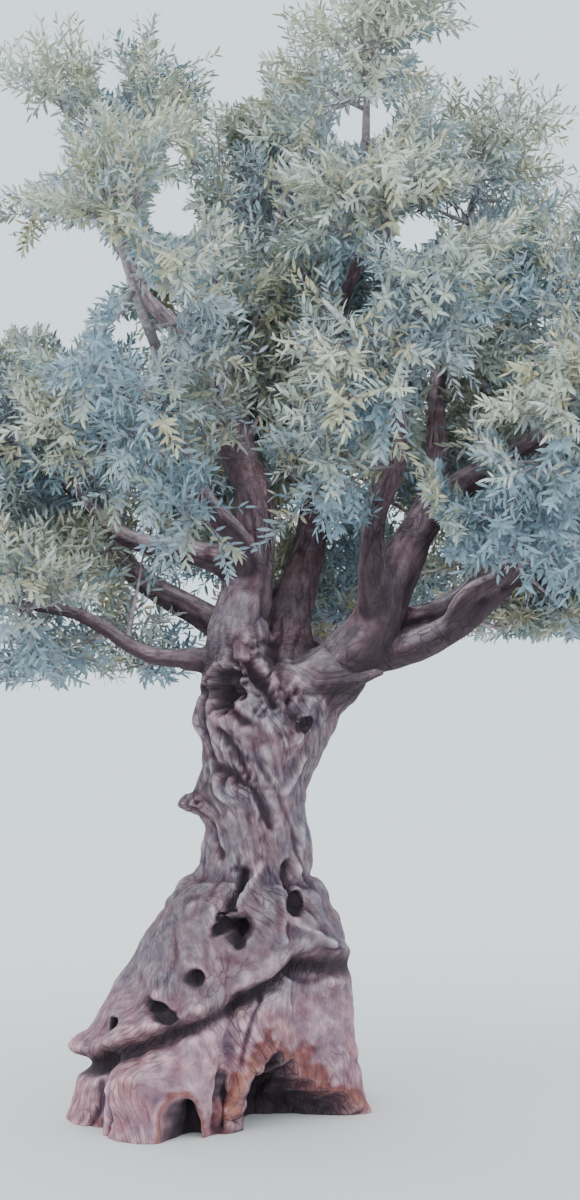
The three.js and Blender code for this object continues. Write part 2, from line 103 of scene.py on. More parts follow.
# A burl is cut back more sharply under its middle than over it.
BURL_UNDER = 0.55
HOLLOWS = [
    (261, 0.91, 0.095, 0.075, 0.16, 10), (248, 0.7, 0.052, 0.03, 0.06, 40),
    (240, 0.555, 0.1, 0.032, 0.07, 22), (212, 0.455, 0.075, 0.034, 0.06, 10),
    (303, 1.87, 0.03, 0.035, 0.035, 0), (308, 1.02, 0.042, 0.058, 0.032, 30),
    (221, 1.04, 0.045, 0.022, 0.03, 0),
]
# The hollow under the left bough goes through the bough's foot too.
HEAD_HOLLOWS = [(228, 2.06, 0.075, 0.12, 0.1, 0)]
# Hollows at the ground, with rust-red wood round their rims.
GROUND_HOLLOWS = [
    (303, 0.0, 0.36, 0.32, 0.34), (326, 0.0, 0.33, 0.13, 0.34), (252, 0.0, 0.07, 0.2, 0.22),
    (266, 0.16, 0.028, 0.14, 0.12), (70, 0.04, 0.1, 0.26, 0.09), (150, 0.0, 0.12, 0.12, 0.1),
]
# A hollow's rim, its swollen edge, its inside painted dark as shade, and the stain or the rust round it, all
# as shares of its half size.
HOLLOW_RIM = (0.6, 1.05)
HOLLOW_ROLL = (0.014, 1.22, 0.2)
HOLLOW_SHADE = (0.8, 1.12)
DARK_FROM_DEPTH = 0.06
HOLLOW_STAIN = (0.7, 1.15, 0.28)
RUST_RIM = (1, 1.12, 0.16)
RAGGED = Values(around=5.0, along=12.0, size=0.42, ground=0.2, fine=0.6, finer=2.7)
# The lower half of the lip is painted wine-dark as shade, and the crease under it is painted dark as shadow.
LIP_SHADE = (0.6, 0.0, 0.045)
CREASE_SHADOW = 0.75

# Clefts in the trunk and raised edges on it: points of angle and height, then half width and depth.
CLEFTS = [
    ([(226, 2.34), (235, 2.24), (246, 2.17), (259, 2.07), (272, 1.97)], 0.036, 0.08),
    ([(254, 2.3), (267, 2.18), (276, 2.07), (290, 1.91)], 0.05, 0.022),
    ([(217, 2.02), (231, 1.97), (251, 1.88)], 0.026, 0.04),
    ([(205, 2.05), (212, 1.84), (214, 1.72)], 0.02, 0.03),
    ([(228, 1.84), (251, 1.7), (263, 1.62)], 0.02, 0.035),
    ([(222, 1.66), (248, 1.64), (264, 1.58), (276, 1.5), (286, 1.38)], 0.026, 0.04),
    ([(203, 1.43), (215, 1.33), (226, 1.24)], 0.028, 0.035),
    ([(258, 1.16), (253, 1.08), (251, 1.0), (251, 0.93)], 0.03, 0.07),
    ([(307, 1.19), (306, 1.1), (309, 1.02)], 0.024, 0.045),
    ([(285, 0.6), (279, 0.42), (276, 0.3)], 0.018, 0.02),
    ([(224, 0.16), (226, 0.08), (225, 0.0)], 0.02, 0.03),
    ([(206, 0.2), (209, 0.1), (208, 0.0)], 0.018, 0.025),
    ([(38, 1.95), (58, 1.7), (76, 1.42)], 0.055, 0.022),
    ([(112, 1.8), (127, 1.52), (122, 1.36)], 0.05, 0.018),
    ([(156, 1.36), (142, 1.14), (128, 0.86)], 0.075, 0.026),
    ([(96, 1.1), (104, 0.86), (92, 0.56)], 0.07, 0.024),
    ([(20, 1.0), (36, 0.7), (28, 0.4)], 0.075, 0.024),
    ([(174, 0.8), (164, 0.56)], 0.07, 0.02),
]
# Clefts are painted wine-dark and darker as shade, fully so from this depth (dark); this share of it darkens
# the furrows (furrow).
CLEFT = Values(ragged=0.7, dark=0.045, furrow=1.2)
EDGES = [
    ([(276, 1.2), (268, 1.12), (256, 1.02)], 0.02, 0.03),
    ([(295, 1.05), (294, 0.95), (296, 0.85)], 0.018, 0.024),
    ([(297, 0.95), (312, 0.9), (331, 0.82)], 0.024, 0.03),
    ([(273, 1.76), (280, 1.68), (286, 1.6)], 0.022, 0.022),
    ([(304, 1.99), (301, 1.9), (300, 1.8)], 0.018, 0.02),
    ([(318, 1.7), (310, 1.62), (300, 1.55)], 0.024, 0.028),
    ([(323, 1.38), (321, 1.28), (319, 1.18)], 0.026, 0.024),
    ([(228, 1.6), (236, 1.55), (246, 1.5)], 0.024, 0.024),
]
# Clefts and edges fade out between these heights.
CARVING = (2.22, 2.36)
# Rust-red stains at the toes: angle, height, and half sizes.
STAINS = [(352, 0.08, 0.1, 0.06), (216, 0.03, 0.12, 0.05), (292, 0.08, 0.05, 0.09)]
# Wood as dark as wine: places on the trunk, and limbs that stand in shade, painted wine-dark as shade, with
# how much of each.
WINE_PATCHES = [
    (273, 2.16, 0.05, 0.13, 0.8), (250, 1.62, 0.08, 0.05, 0.9), (303, 0.99, 0.09, 0.08, 0.9),
    (241, 1.03, 0.07, 0.04, 0.5), (270, 1.2, 0.04, 0.08, 0.6), (204, 1.95, 0.04, 0.16, 0.5),
    (214, 1.5, 0.05, 0.09, 0.6), (274, 0.14, 0.06, 0.16, 0.8),
]
SHADED_LIMBS = {"broken_stub": 0.9, "bough_leader": 0.65, "bough_right_main": 0.2, "bough_left_low": 0.4,
              "bough_left_back": 0.3}
# Those limbs are painted darker still as shade, by this share.
LIMB_SHADE = 0.6
# The foot of a bough runs down the trunk as a rib: how far down, how far round, how far out and how thick.
RIB = Values(down=0.5, round=24, out=0.15, girth=0.5, back=0.2, steps=12)

# The limbs. One from the trunk: name, height, side, out. One from a bough: name, that bough, share.
# Then azimuth, rise, turn, lift, phase, length, girth, tip, reach of the foliage.
ROOTED = [
    ("bough_right_main", 2.0, 0, 0.11, -2, 50, -8, -4, 0.43, 2.15, 0.165, 0.038, 0.95),
    ("bough_right_low", 1.99, -18, 0.15, -10, 36, 2, -18, 0.1, 1.75, 0.12, 0.038, 0.9),
    ("bough_left_up", 2.08, 190, 0.17, 188, 82, 0, 14, 0.62, 2.1, 0.16, 0.036, 0.95),
    ("bough_leader", 2.12, 40, 0.06, 62, 68, 30, 18, 0.2, 2.6, 0.13, 0.034, 0.95),
    ("bough_back", 2.12, 106, 0.13, 100, 44, 8, 6, 0.7, 1.7, 0.1, 0.032, 0.9),
    ("bough_right_back", 2.11, 44, 0.15, 42, 42, 6, 4, 0.3, 1.9, 0.105, 0.032, 0.9),
    ("bough_left_back", 2.14, 148, 0.15, 148, 42, -4, 4, 0.9, 1.85, 0.095, 0.032, 0.9),
    ("bough_left_low", 2.17, 184, 0.25, 181, 16, 4, 6, 0.2, 1.05, 0.055, 0.03, 0.85),
    ("bough_back_low", 2.06, 76, 0.15, 76, 24, -8, 4, 0.4, 1.15, 0.074, 0.03, 0.85),
    ("broken_stub", 2.06, -24, 0.26, -14, 12, 0, -4, 0, 0.33, 0.06, 0.018, 0),
]
FORKED = [
    ("fork_right_mid", "bough_right_main", 0.25, 12, 26, 20, 2, 0.3, 1.25, 0.064, 0.03, 0.88),
    ("fork_front_right", "bough_right_main", 0.25, 282, 52, -8, 0, 0.55, 1.35, 0.076, 0.03, 0.9),
    ("fork_right_low", "bough_right_low", 0.5, -62, 30, -4, 6, 0.8, 0.85, 0.054, 0.03, 0.85),
    ("fork_right_top", "bough_right_main", 0.5, 50, 74, 10, -6, 0.5, 1.5, 0.07, 0.03, 0.9),
    ("fork_left_wide", "bough_left_up", 0.25, 176, 24, -6, 8, 0.1, 1.45, 0.07, 0.03, 0.9),
    ("fork_front_left", "bough_left_up", 0.25, 236, 46, 8, 4, 0.15, 1.35, 0.074, 0.03, 0.9),
    ("fork_left_top", "bough_left_up", 0.5, 160, 58, 6, 4, 0.6, 1.6, 0.076, 0.03, 0.9),
    ("fork_front_top", "bough_leader", 0.5, 288, 54, -4, 6, 0.4, 1.5, 0.066, 0.03, 0.9),
]
LIMB = Values(steps=8, sway=16, waves=1.35, foot_flare=0.3, flare_length=0.26, taper=0.8, rings=6, sides=24)
# Each limb's line has small kinks, but not at its foot and its end.
KINK = Values(size=0.2, along=2.6, seeds=(3.1, 7.7), phases=9, foot=0.2, end=0.85)

# A limb's foot is welded to the trunk for this length. Past it the trunk's mesh tapers into the bough's.
FOOT = Values(length=0.44, taper=0.78, shrink=0.74, begin=0.06, thins=0.5, swells=(0.3, 0.9))
GROUND_CUT = 0.0005
VOXEL = Values(trunk=0.0114, boughs=0.0138)
SMOOTHING = Values(trunk=4, boughs=5)
# The relief of the trunk fades out round its top, and that of a limb off its own surface.
MEETING = Values(below=0.22, above=0.1, limbs_from=0.3, reach=0.03, least=0.02)

# Layers of relief in the bark: waves round the trunk and waves for a metre along it, then the depth. A
# layer with a width is sharp furrows, the others are swellings. Narrow limbs have less.
RELIEF = [
    (1.5, 2.6, 0.034, None), (1.7, 2.4, 0.022, 0.06), (2.7, 5.0, 0.013, None), (3.6, 4.6, 0.008, 0.09),
    (6.5, 9.5, 0.006, None), (10, 11, 0.004, 0.16), (14, 18, 0.004, None),
]
RELIEF_GIRTH = 0.27
# On narrow limbs the relief and the lumps are never less than these shares, and the waves are fewer.
SLENDER = Values(depth=0.12, waves=0.25, power=0.75, lumps=0.2)
# Layers and limbs take their noise this far apart.
LAYERS_APART = 13.7
LIMBS_APART = 5.3
# A furrow comes and goes along its way, and is narrow where it is faint.
FURROW = Values(scale=1.6, breaks=(-0.25, 0.4), widths=(0.5, 1.35), full=0.022)
# The fibres of the trunk swirl by this many degrees on their way up.
SWIRL = Values(turn=24, scale=2.3)
# Lumps, as their scale and their depth.
LUMPS = [(6.5, 0.018), (15, 0.009)]
# The dome's relief is calmer, and so is the foot's below these heights.
DOME_RELIEF = 0.5
FOOT_RELIEF = 0.75
FOOT_HEIGHTS = (0.5, 1.1)
# Between these heights the wood is painted with light and shade: wine-dark painted shade where it faces
# down, a pale painted highlight where it faces up. The painted shade is weaker inside the crown.
SHADE_AND_HIGHLIGHT = Values(heights=(1.88, 2.04), down=(-0.15, 0.35), up=(0.2, 0.7), dark=0.94, bleached=1.05,
              crown_heights=(2.7, 3.5), crown=0.35)
# How far a place stands out is told on two scales: rounds of smoothing, height of a unit, and share.
CRESTS = [(8, 0.005, 0.55), (60, 0.028, 0.45)]

# A mass of foliage: main twigs branch from one stem, side twigs from them, shoots from those.
STEM = Values(share=0.78, centre=0.26, steps=3, girth=0.9, taper=0.4, lift=12, sides=8)
# A direction that no twig runs in exactly.
SLANT = (0.31, 0.17, 0.93)
GAP = 0.0004
CLEARANCE = 0.026
LIMB_THICK = 0.6
# Leafy twigs also stand on the outer part of each limb, and keep within this distance of it.
LIMB_TWIGS = Values(first=0.4, each=0.12, near=0.72, length=0.5, angle=68, spare=24, least=0.8, vary=0.4)
TURN = 137.5
MAIN = Values(count=10, first=0.08, length=0.56, shorten=0.25, angles=(122, 42), spare=14, lift=12,
              radius=0.014, middle=0.01, tries=8, sides=5)
SIDE = Values(count=8, first=0.16, length=0.3, shorten=0.3, angles=(74, 24), spare=24, lift=10,
              radius=0.006, middle=0.0045, tries=5, sides=3)
SHOOT = Values(count=6, first=0.14, length=0.25, shorten=0.25, angles=(68, 14), spare=30, lift=6,
               radius=0.0028, middle=0.002, tries=4, sides=3)
TWIG_LENGTHS = Values(least=0.85, vary=0.3)
RETRY = Values(turn=80, shrink=0.92)
ENDS = ("root", "elbow", "tip")
# Leaves stand in pairs across each shoot, every pair turned a quarter from the last. The outline is given
# as shares of the length and of half the width.
LEAF = Values(length=0.07, width=0.0178, pairs=8, first=0.1, bend=0.14, vary=0.28, roll=34, spare_turn=30,
              angle=52, open=1.15, close=0.5, spare_angle=22, large=1.05, small=0.25, skyward=0.8)
LEAF_OUTLINE = [(0, 0), (0.3, 0.94), (0.7, 0.82), (1, 0), (0.7, -0.82), (0.3, -0.94)]
LEAF_FACES = [[0, 1, 5], [1, 2, 5], [5, 2, 4], [2, 3, 4]]
SEED = Values(first=101, step=37)
PIECE_LIMIT = 48000

# The patches of sky seen through the crown, from the eye: bearing to the right, elevation and half sizes.
# A patch with a depth is open only as far as that from the viewer.
SKY = [
    (-8.7, 17.3, 2.9, 1.5, None), (-2.8, 26.4, 2.4, 1.5, None), (-2.0, 24.6, 0.9, 1.7, None),
    (-6.6, 24.2, 0.5, 0.45, None), (5.2, 25.0, 0.6, 0.5, None), (2.7, 22.8, 0.8, 0.65, None),
    (4.7, 19.2, 0.7, 0.6, None), (-4.6, 19.8, 0.9, 1.1, None), (-9.7, 21.8, 1.2, 1.4, None),
    (0.4, 4.0, 4.4, 4.4, 8.2), (-5.8, 5.5, 2.6, 0.8, 8.0), (5.6, 6.2, 2.9, 1.1, 7.9),
    (4.8, 9.0, 1.0, 1.0, 7.9),
    (-5.1, 16.3, 0.9, 1.0, 8.1), (2.3, 17.4, 0.7, 1.1, 8.1), (6.4, 10.7, 0.8, 0.7, 7.9),
    (8.5, 11.8, 0.9, 0.5, 7.9), (5.2, 13.4, 0.4, 1.3, 8.0), (-1.4, 10.8, 0.5, 1.1, 7.95),
    (6.9, 19.8, 1.2, 0.4, 8.3),
]
# The edges of the patches wander in and out by this share of their size, with this many waves for a degree.
SKY_RAGGED = Values(size=0.75, waves=0.8)
# The underside of the crown: its elevations on the left and on the right, and the bearings between them.
UNDERSIDE = Values(left=3.3, right=5.0, bearings=(-3, 1))
# Where the crown's colours are painted as sunlit and where as in shade, in the same way, with how much
# lighter or darker.
SUNLIT_AND_SHADED_PLACES = [
    (-1.0, 17.9, 1.0, 1.1, 0.5), (1.0, 15.0, 1.6, 0.9, 0.6), (4.9, 13.7, 1.3, 1.6, 0.55),
    (-8.7, 12.7, 1.5, 0.8, 0.6), (-9.0, 15.5, 1.6, 0.7, 0.45), (-2.4, 14.0, 2.1, 1.1, 0.6),
    (6.4, 21.0, 1.2, 0.8, 0.5), (8.0, 12.7, 2.0, 0.9, 0.6), (-7.6, 7.8, 2.2, 1.0, 0.5),
    (2.1, 11.1, 0.9, 0.8, 0.4), (-2.3, 19.5, 1.1, 0.8, 0.4), (-3.4, 11.9, 1.7, 0.9, 0.6),
    (-7.4, 9.2, 1.2, 0.7, 0.4), (-6.3, 15.2, 1.2, 1.1, -0.6), (-8.3, 14.3, 1.3, 0.6, -0.4),
    (2.5, 18.2, 0.9, 0.8, -0.6), (3.1, 13.9, 1.1, 1.0, -0.5), (2.1, 8.8, 1.5, 1.7, -0.6),
    (-8.3, 10.4, 1.3, 0.5, -0.4), (-4.4, 7.4, 1.3, 0.9, -0.6), (-1.5, 7.2, 0.9, 1.1, -0.6),
    (8.8, 8.9, 1.9, 1.6, -0.65), (8.4, 17.2, 1.2, 0.9, -0.5), (2.8, 21.0, 0.9, 0.7, -0.4),
]
# The painted light that picks a spray's colour, besides that: by how far out, how sunny and how high it is,
# and by chance.
SUN = np.array([-0.35, -0.45, 0.82])
PAINTED_LIGHT = Values(outer=0.34, sunny=0.3, height=0.2, patches=[(1.7, 4.1, 0.6), (4.6, 9.2, 0.45)], waver=0.16)

# The colours dealt out to sprays by their painted light, from painted shade deep in the crown to painted
# light on its lit outside, over the leaves' own greys and greens, with each one's share. Sprays deep inside
# the crown are of one pale blue, a painted light that lifts their shade, because little light comes to them.
DEEP = Values(share=0.28, waver=0.06, light=-9)
LEAF_COLOURS = [
    ("deep", (0.480, 0.565, 0.605), DEEP.share),
    ("teal", (0.260, 0.360, 0.420), 0.16 * (1 - DEEP.share)),
    ("slate", (0.350, 0.435, 0.475), 0.18 * (1 - DEEP.share)),
    ("sage", (0.430, 0.480, 0.410), 0.22 * (1 - DEEP.share)),
    ("khaki", (0.520, 0.490, 0.335), 0.17 * (1 - DEEP.share)),
    ("grey", (0.510, 0.545, 0.490), 0.16 * (1 - DEEP.share)),
    ("cream", (0.610, 0.610, 0.495), 0.11 * (1 - DEEP.share)),
]
TWIG_COLOUR = (0.36, 0.295, 0.32)
# The bark's tint from the ground up to this height: pale and pink at the foot, deeper above.
BARK_TONE_TOP = 3.0
BARK_TONES = [
    (0.0, (2.45, 1.66, 1.70)), (0.15, (2.3, 1.68, 1.72)), (0.22, (1.46, 1.28, 1.33)),
    (0.4, (1.18, 1.08, 1.13)), (0.74, (1.22, 1.08, 1.14)),
    (0.82, (1.6, 1.42, 1.48)), (1.0, (1.9, 1.64, 1.72)),
]
# The colours of wood from its dark furrows to its pale crests, partly painted shade and highlight.
COOL_WOOD = [
    (0.0, (0.048, 0.036, 0.055)), (0.22, (0.082, 0.063, 0.086)), (0.42, (0.122, 0.102, 0.122)),
    (0.6, (0.184, 0.166, 0.186)), (0.8, (0.29, 0.266, 0.285)), (1.0, (0.56, 0.52, 0.54)),
]
WARM_WOOD = [
    (0.0, (0.058, 0.028, 0.040)), (0.22, (0.102, 0.056, 0.070)), (0.42, (0.156, 0.100, 0.112)),
    (0.6, (0.222, 0.160, 0.170)), (0.8, (0.35, 0.275, 0.285)), (1.0, (0.60, 0.51, 0.52)),
]
# Wine-dark wood (partly painted shade), rusty wood, and the dark of painted shade in hollows and under
# boughs.
WINE_WOOD = [(0.1, (0.022, 0.009, 0.016)), (0.5, (0.085, 0.027, 0.042)), (0.9, (0.28, 0.13, 0.15))]
RUSTY_WOOD = [(0.15, (0.05, 0.011, 0.014)), (0.5, (0.18, 0.038, 0.027)), (0.9, (0.32, 0.110, 0.065))]
SHADE_WOOD = [(0.1, (0.022, 0.012, 0.020)), (0.5, (0.044, 0.025, 0.034)), (0.9, (0.09, 0.055, 0.066))]

# The studio: the floor, the sky, how far off the lights stand, and each light by its name, azimuth, rise,
# strength, softness and colour.
STUDIO = Values(floor=40, floor_colour=(0.8, 0.775, 0.75, 1), sky=(0.68, 0.80, 0.885, 1),
                strength=1.9, far=12)
LIGHTS = [
    ("key", 233, 42, 0.8, 55, (1.0, 0.97, 0.93)), ("front", 288, 8, 0.95, 90, (0.95, 0.98, 1.0)),
    ("side", 15, 15, 0.65, 90, (0.95, 0.98, 1.0)), ("back", 110, 20, 0.95, 80, (1.0, 0.98, 0.95)),
]


def smoothstep(x, low, high):
    t = np.clip((x - low) / (high - low), 0, 1)
    return t * t * (3 - 2 * t)


def lerp(a, b, t):
    return a + (b - a) * t


def hump(x, size, at, wide):
    """A smooth hump of a size, where x is about a value."""
    return size * np.exp(-((x - at) / wide) ** 2)


def unit(vectors):
    return vectors / np.maximum(np.linalg.norm(vectors, axis=-1, keepdims=True), 1e-12)


def heading(azimuth, rise):
    """The direction at an azimuth from +X towards +Y and a rise above level."""
    a, r = np.radians(azimuth), np.radians(rise)
    return np.stack([np.cos(r) * np.cos(a), np.cos(r) * np.sin(a), np.sin(r) + 0 * a], axis=-1)


def angle_between(a, b):
    """How far two angles lie apart, from -180 to 180."""
    return (a - b + 540) % 360 - 180


def noise_at(points):
    """Smooth noise from about -1 to 1 at each point."""
    return np.array([noise.noise(point) for point in points.tolist()])


def new_object(name, data):
    obj = bpy.data.objects.new(name, data)
    bpy.context.scene.collection.objects.link(obj)
    return obj


def new_mesh(name, points, faces):
    mesh = bpy.data.meshes.new(name)
    mesh.from_pydata(points.tolist(), [], faces, shade_flat=False)
    return mesh


def add_camera():
    data = bpy.data.cameras.new("camera")
    data.lens = CAMERA.lens
    data.sensor_width = CAMERA.sensor
    camera = new_object("camera", data)
    camera.location = EYE
    camera.rotation_euler = (math.radians(90 + CAMERA.pitch), 0, 0)
    bpy.context.scene.camera = camera


# The trunk's shape
def ledge_turn(angle):
    """The angle, counted on from where the lip begins."""
    return np.where(angle < LEDGE.first, angle + 360, angle)


def above_ledge(angle, z):
    """How far above the lip's edge a place lies."""
    return z - np.interp(ledge_turn(angle), LEDGE_ANGLES, LEDGE_HEIGHTS)


def ledge_relief(angle, z):
    """What the lip adds to the trunk's radius."""
    turned = ledge_turn(angle)
    strength = smoothstep(turned, LEDGE.first, LEDGE.first + LEDGE.fade)
    strength = strength * (1 - smoothstep(turned, LEDGE.last - LEDGE.fade, LEDGE.last))
    above = above_ledge(angle, z)
    step = LEDGE.step * smoothstep(-above, 0, LEDGE.step_tall)
    return strength * (hump(above, *LEDGE.roll) - hump(above, *LEDGE.crease) - step)


def circle_reach(offset, radius, turn):
    """How far a circle reaches from the origin in one direction, with a steep fall past its side."""
    across = np.abs(offset * np.sin(turn))
    depth = np.sqrt(np.maximum(radius * radius - across * across, 0))
    past = STRAND_FALL * np.maximum(across - radius, 0)
    return np.where(np.cos(turn) > 0, np.maximum(offset * np.cos(turn) + depth - past, 0), 0)


def trunk_twist(z):
    return TRUNK.twist * smoothstep(z, TRUNK.twist_from, TRUNK.height)


def trunk_axis(z):
    """The trunk's axis leans to the right above the foot, and again in the head."""
    lower = TRUNK.lean * smoothstep(z, TRUNK.lean_from, TRUNK.dome_top)
    return lower + TRUNK.head_lean * smoothstep(z, TRUNK.head_from, TRUNK.height)


def head_spread(z):
    """How much wider and deeper than below the trunk is in its head."""
    head = smoothstep(z, TRUNK.head_from, TRUNK.height)
    return 1 + TRUNK.head_width * head, 1 + TRUNK.head_depth * head


def dome_share(angle, z):
    """How much a place belongs to the smooth dome above the lip."""
    above = smoothstep(above_ledge(angle, z), 0, DOME.edge)
    return above * (1 - smoothstep(z, *DOME.heights))


def strand_offset(reach, flare):
    return lerp(TRUNK.strand_offset, reach - TRUNK.foot_girth, flare)


def mean_radius(z):
    """The trunk's mean radius at a height, its strands' girth and how much it flares."""
    flare = np.maximum(0, 1 - (z / TRUNK.dome_top) ** 2) ** TRUNK.dome_power
    girth = lerp(TRUNK.strand_girth, TRUNK.foot_girth, flare)
    mean = 0
    for _, reach in STRANDS:
        mean = mean + (strand_offset(reach, flare) + girth) / len(STRANDS)
    return mean, girth, flare


def ring_points(angle, z, around, along):
    """Points for noise that closes round the trunk."""
    ring = np.radians(angle)
    return np.stack([around * np.cos(ring), around * np.sin(ring), along * z], axis=-1).reshape(-1, 3)


def trunk_spots(angle, z):
    """Places on the trunk, with its mean radius and how the rims of hollows wander in and out there."""
    place = ring_points(angle, z, RAGGED.around, RAGGED.along)
    wander = noise_at(place) + RAGGED.fine * noise_at(RAGGED.finer * place)
    return Values(angle=angle, z=z, mean=mean_radius(z)[0], wander=wander.reshape(angle.shape))


def offset_from(spots, side, height):
    """How far across the bark and above a place on the trunk the spots lie."""
    return np.radians(angle_between(spots.angle, side)) * spots.mean, spots.z - height


def hollow_distance(spots, hollow):
    """How far the spots lie from the middle of a hollow, as a share of its half size."""
    side, height, wide, tall = hollow[:4]
    slope = math.radians(hollow[5]) if len(hollow) > 5 else 0
    across, above = offset_from(spots, side, height)
    across, above = (across * math.cos(slope) - above * math.sin(slope),
                     above * math.cos(slope) + across * math.sin(slope))
    rough = RAGGED.size if height else RAGGED.ground
    return np.hypot(across / wide, above / tall) * (1 + rough * spots.wander)


def hollow_depth(away, hollow):
    return hollow[4] * (1 - smoothstep(away, *HOLLOW_RIM))


def trunk_radius(angle, z):
    """The trunk's radius: its strands welded together, then the burls, the lip and the hollows."""
    mean, girth, flare = mean_radius(z)
    spots = trunk_spots(angle, z)
    woven = ring_points(angle, z, WEAVE.around, WEAVE.along)
    woven = angle + WEAVE.swing * noise_at(woven).reshape(angle.shape)
    weld = lerp(TRUNK.weld, DOME.weld, dome_share(angle, z))
    total = np.exp(TRUNK.core * mean / weld)
    for side, reach in STRANDS:
        turn = np.radians(angle_between(woven, side + trunk_twist(z)))
        total = total + np.exp(circle_reach(strand_offset(reach, flare), girth, turn) / weld)
    radius = weld * np.log(total) - (weld - TRUNK.weld) * math.log(DOME.inflate)
    radius = radius + SPREAD.out * np.exp(-z / SPREAD.fall)
    for side, height, wide, tall, out in BURLS:
        across, above = offset_from(spots, side, height)
        above = above / np.where(above < 0, BURL_UNDER * tall, tall)
        radius = radius + out * np.exp(-(across / wide) ** 2 - above ** 2)
    radius = radius + ledge_relief(angle, z)
    cut = np.zeros(angle.shape)
    for hollow in HOLLOWS + GROUND_HOLLOWS:
        away = hollow_distance(spots, hollow)
        cut = np.maximum(cut, hollow_depth(away, hollow))
        if hollow in HOLLOWS:
            radius = radius + hump(away, *HOLLOW_ROLL)
    return np.maximum(radius - cut, TRUNK.least)


def ring_mesh(rings):
    """A closed surface through rings of points, as points and faces."""
    levels, sides = rings.shape[:2]
    index = np.arange(levels * sides).reshape(levels, sides)
    low, high = index[:-1], index[1:]
    quads = np.stack([low, np.roll(low, -1, 1), np.roll(high, -1, 1), high], axis=-1).reshape(-1, 4)
    return rings.reshape(-1, 3), quads.tolist() + [index[0][::-1].tolist(), index[-1].tolist()]


def trunk_shell():
    """The trunk as one closed surface that runs on a little below the ground."""
    levels = np.linspace(-TRUNK_GRID.below, TRUNK.top, TRUNK_GRID.levels)
    angle, z = np.meshgrid(np.arange(TRUNK_GRID.sides) * 360 / TRUNK_GRID.sides, levels)
    radius = trunk_radius(angle, np.maximum(z, 0))
    cap = np.maximum(0, (z - TRUNK.top + TRUNK.cap_height) / TRUNK.cap_height)
    radius = radius * np.sqrt(np.maximum(1 - cap ** 2, 1e-4))
    wider, deeper = head_spread(z)
    x = np.cos(np.radians(angle)) * radius * wider + trunk_axis(z)
    y = np.sin(np.radians(angle)) * radius * deeper
    return ring_mesh(np.stack([x, y, z], axis=-1))


# The limbs' lines and tubes
def limb_line(foot, azimuth, rise, turn, lift, phase, length):
    """The points of a limb, from its foot along a heading that swings as it goes."""
    points = [foot]
    for i in range(LIMB.steps):
        t = (i + 0.5) / LIMB.steps
        wave = 2 * math.pi * (LIMB.waves * t + phase)
        swung = azimuth + turn * t + LIMB.sway * math.sin(wave)
        risen = rise + lift * t + LIMB.sway * math.cos(wave + phase)
        points.append(points[-1] + heading(swung, risen) * length / LIMB.steps)
    return np.array(points)


def tangents(points):
    steps = [points[1:2] - points[:1], points[2:] - points[:-2], points[-1:] - points[-2:-1]]
    return unit(np.concatenate(steps))


def smooth_line(points, rings):
    """A smooth curve through the points, with this many rings for each step."""
    last = len(points) - 1
    at = np.linspace(0, last, last * rings + 1)
    i = np.minimum(at.astype(int), last - 1)
    t = (at - i)[:, None]
    slope = np.gradient(points, axis=0)
    p, q, m, n = points[i], points[i + 1], slope[i], slope[i + 1]
    return ((2 * t ** 3 - 3 * t ** 2 + 1) * p + (t ** 3 - 2 * t ** 2 + t) * m
            + (3 * t ** 2 - 2 * t ** 3) * q + (t ** 3 - t ** 2) * n)


def cross_axes(along):
    """Two directions across a line at each of its points, that don't spin along it."""
    across = np.cross(UP, along[0])
    if np.linalg.norm(across) < 0.1:
        across = np.cross([1.0, 0, 0], along[0])
    sides = []
    for tangent in along:
        across = unit(across - tangent * np.dot(across, tangent))
        sides.append(across)
    sides = np.array(sides)
    return sides, np.cross(along, sides)


def lay_out_limbs():
    """Every limb's fine line, radii and axes, each from the trunk or from a bough already laid out."""
    limbs = {}
    for name, base, side, *more in ROOTED + FORKED:
        azimuth, rise, turn, lift, phase, length, girth, tip, reach = more[-9:]
        rooted = not isinstance(base, str)
        if rooted:
            foot = heading(side, 0) * more[0] + np.array([trunk_axis(base), 0, base])
        else:
            foot = limbs[base].points[round(side * LIMB.steps)]
        points = limb_line(foot, azimuth, rise, turn, lift, phase, length)
        line = smooth_line(points, LIMB.rings)
        share = np.linspace(0, 1, len(line))
        along = tangents(line)
        across, up = cross_axes(along)
        radii = lerp(girth, tip, share ** LIMB.taper)
        free = smoothstep(share, 0, KINK.foot) * (1 - smoothstep(share, KINK.end, 1))
        for axis, seed in zip((across, up), KINK.seeds):
            spots = [share * length * KINK.along, 0 * share + seed, 0 * share + phase * KINK.phases]
            kinks = noise_at(np.stack(spots, axis=-1)) * KINK.size * radii * free
            line = line + axis * kinks[:, None]
        radii = radii + LIMB.foot_flare * girth * np.exp(-share * length / LIMB.flare_length)
        limbs[name] = Values(
            name=name, side=side, points=points, line=line, radii=radii, along=along, across=across, up=up,
            at=share * length, length=length, girth=girth, tip=tip, reach=reach, rooted=rooted,
        )
    return limbs


def tube(line, radii, across, up, sides):
    """A closed tube, as points and faces."""
    turn = np.arange(sides) * 2 * math.pi / sides
    out = across[:, None] * np.cos(turn)[None, :, None] + up[:, None] * np.sin(turn)[None, :, None]
    return ring_mesh(line[:, None] + out * radii[:, None, None])


def limb_rib(limb):
    """The foot of a bough where it runs down the trunk, as a closed tube."""
    foot = limb.line[0]
    low = foot[2] - RIB.down
    base = heading(limb.side + RIB.round, 0) * RIB.out + np.array([trunk_axis(low), 0, low])
    bend = foot - limb.along[0] * RIB.back
    t = np.linspace(0, 1, RIB.steps)[:, None]
    line = base * (1 - t) ** 2 + 2 * bend * t * (1 - t) + foot * t ** 2
    radii = lerp(RIB.girth * limb.girth, limb.radii[0], t[:, 0])
    return tube(line, radii, *cross_axes(tangents(line)), LIMB.sides)


def limb_tube(limb, first, last, scale):
    """The tube of a limb between two lengths, with its radius scaled along it."""
    pick = (limb.at >= first) & (limb.at <= last)
    radii = limb.radii[pick] * scale(limb.at[pick])
    return tube(limb.line[pick], radii, limb.across[pick], limb.up[pick], LIMB.sides)


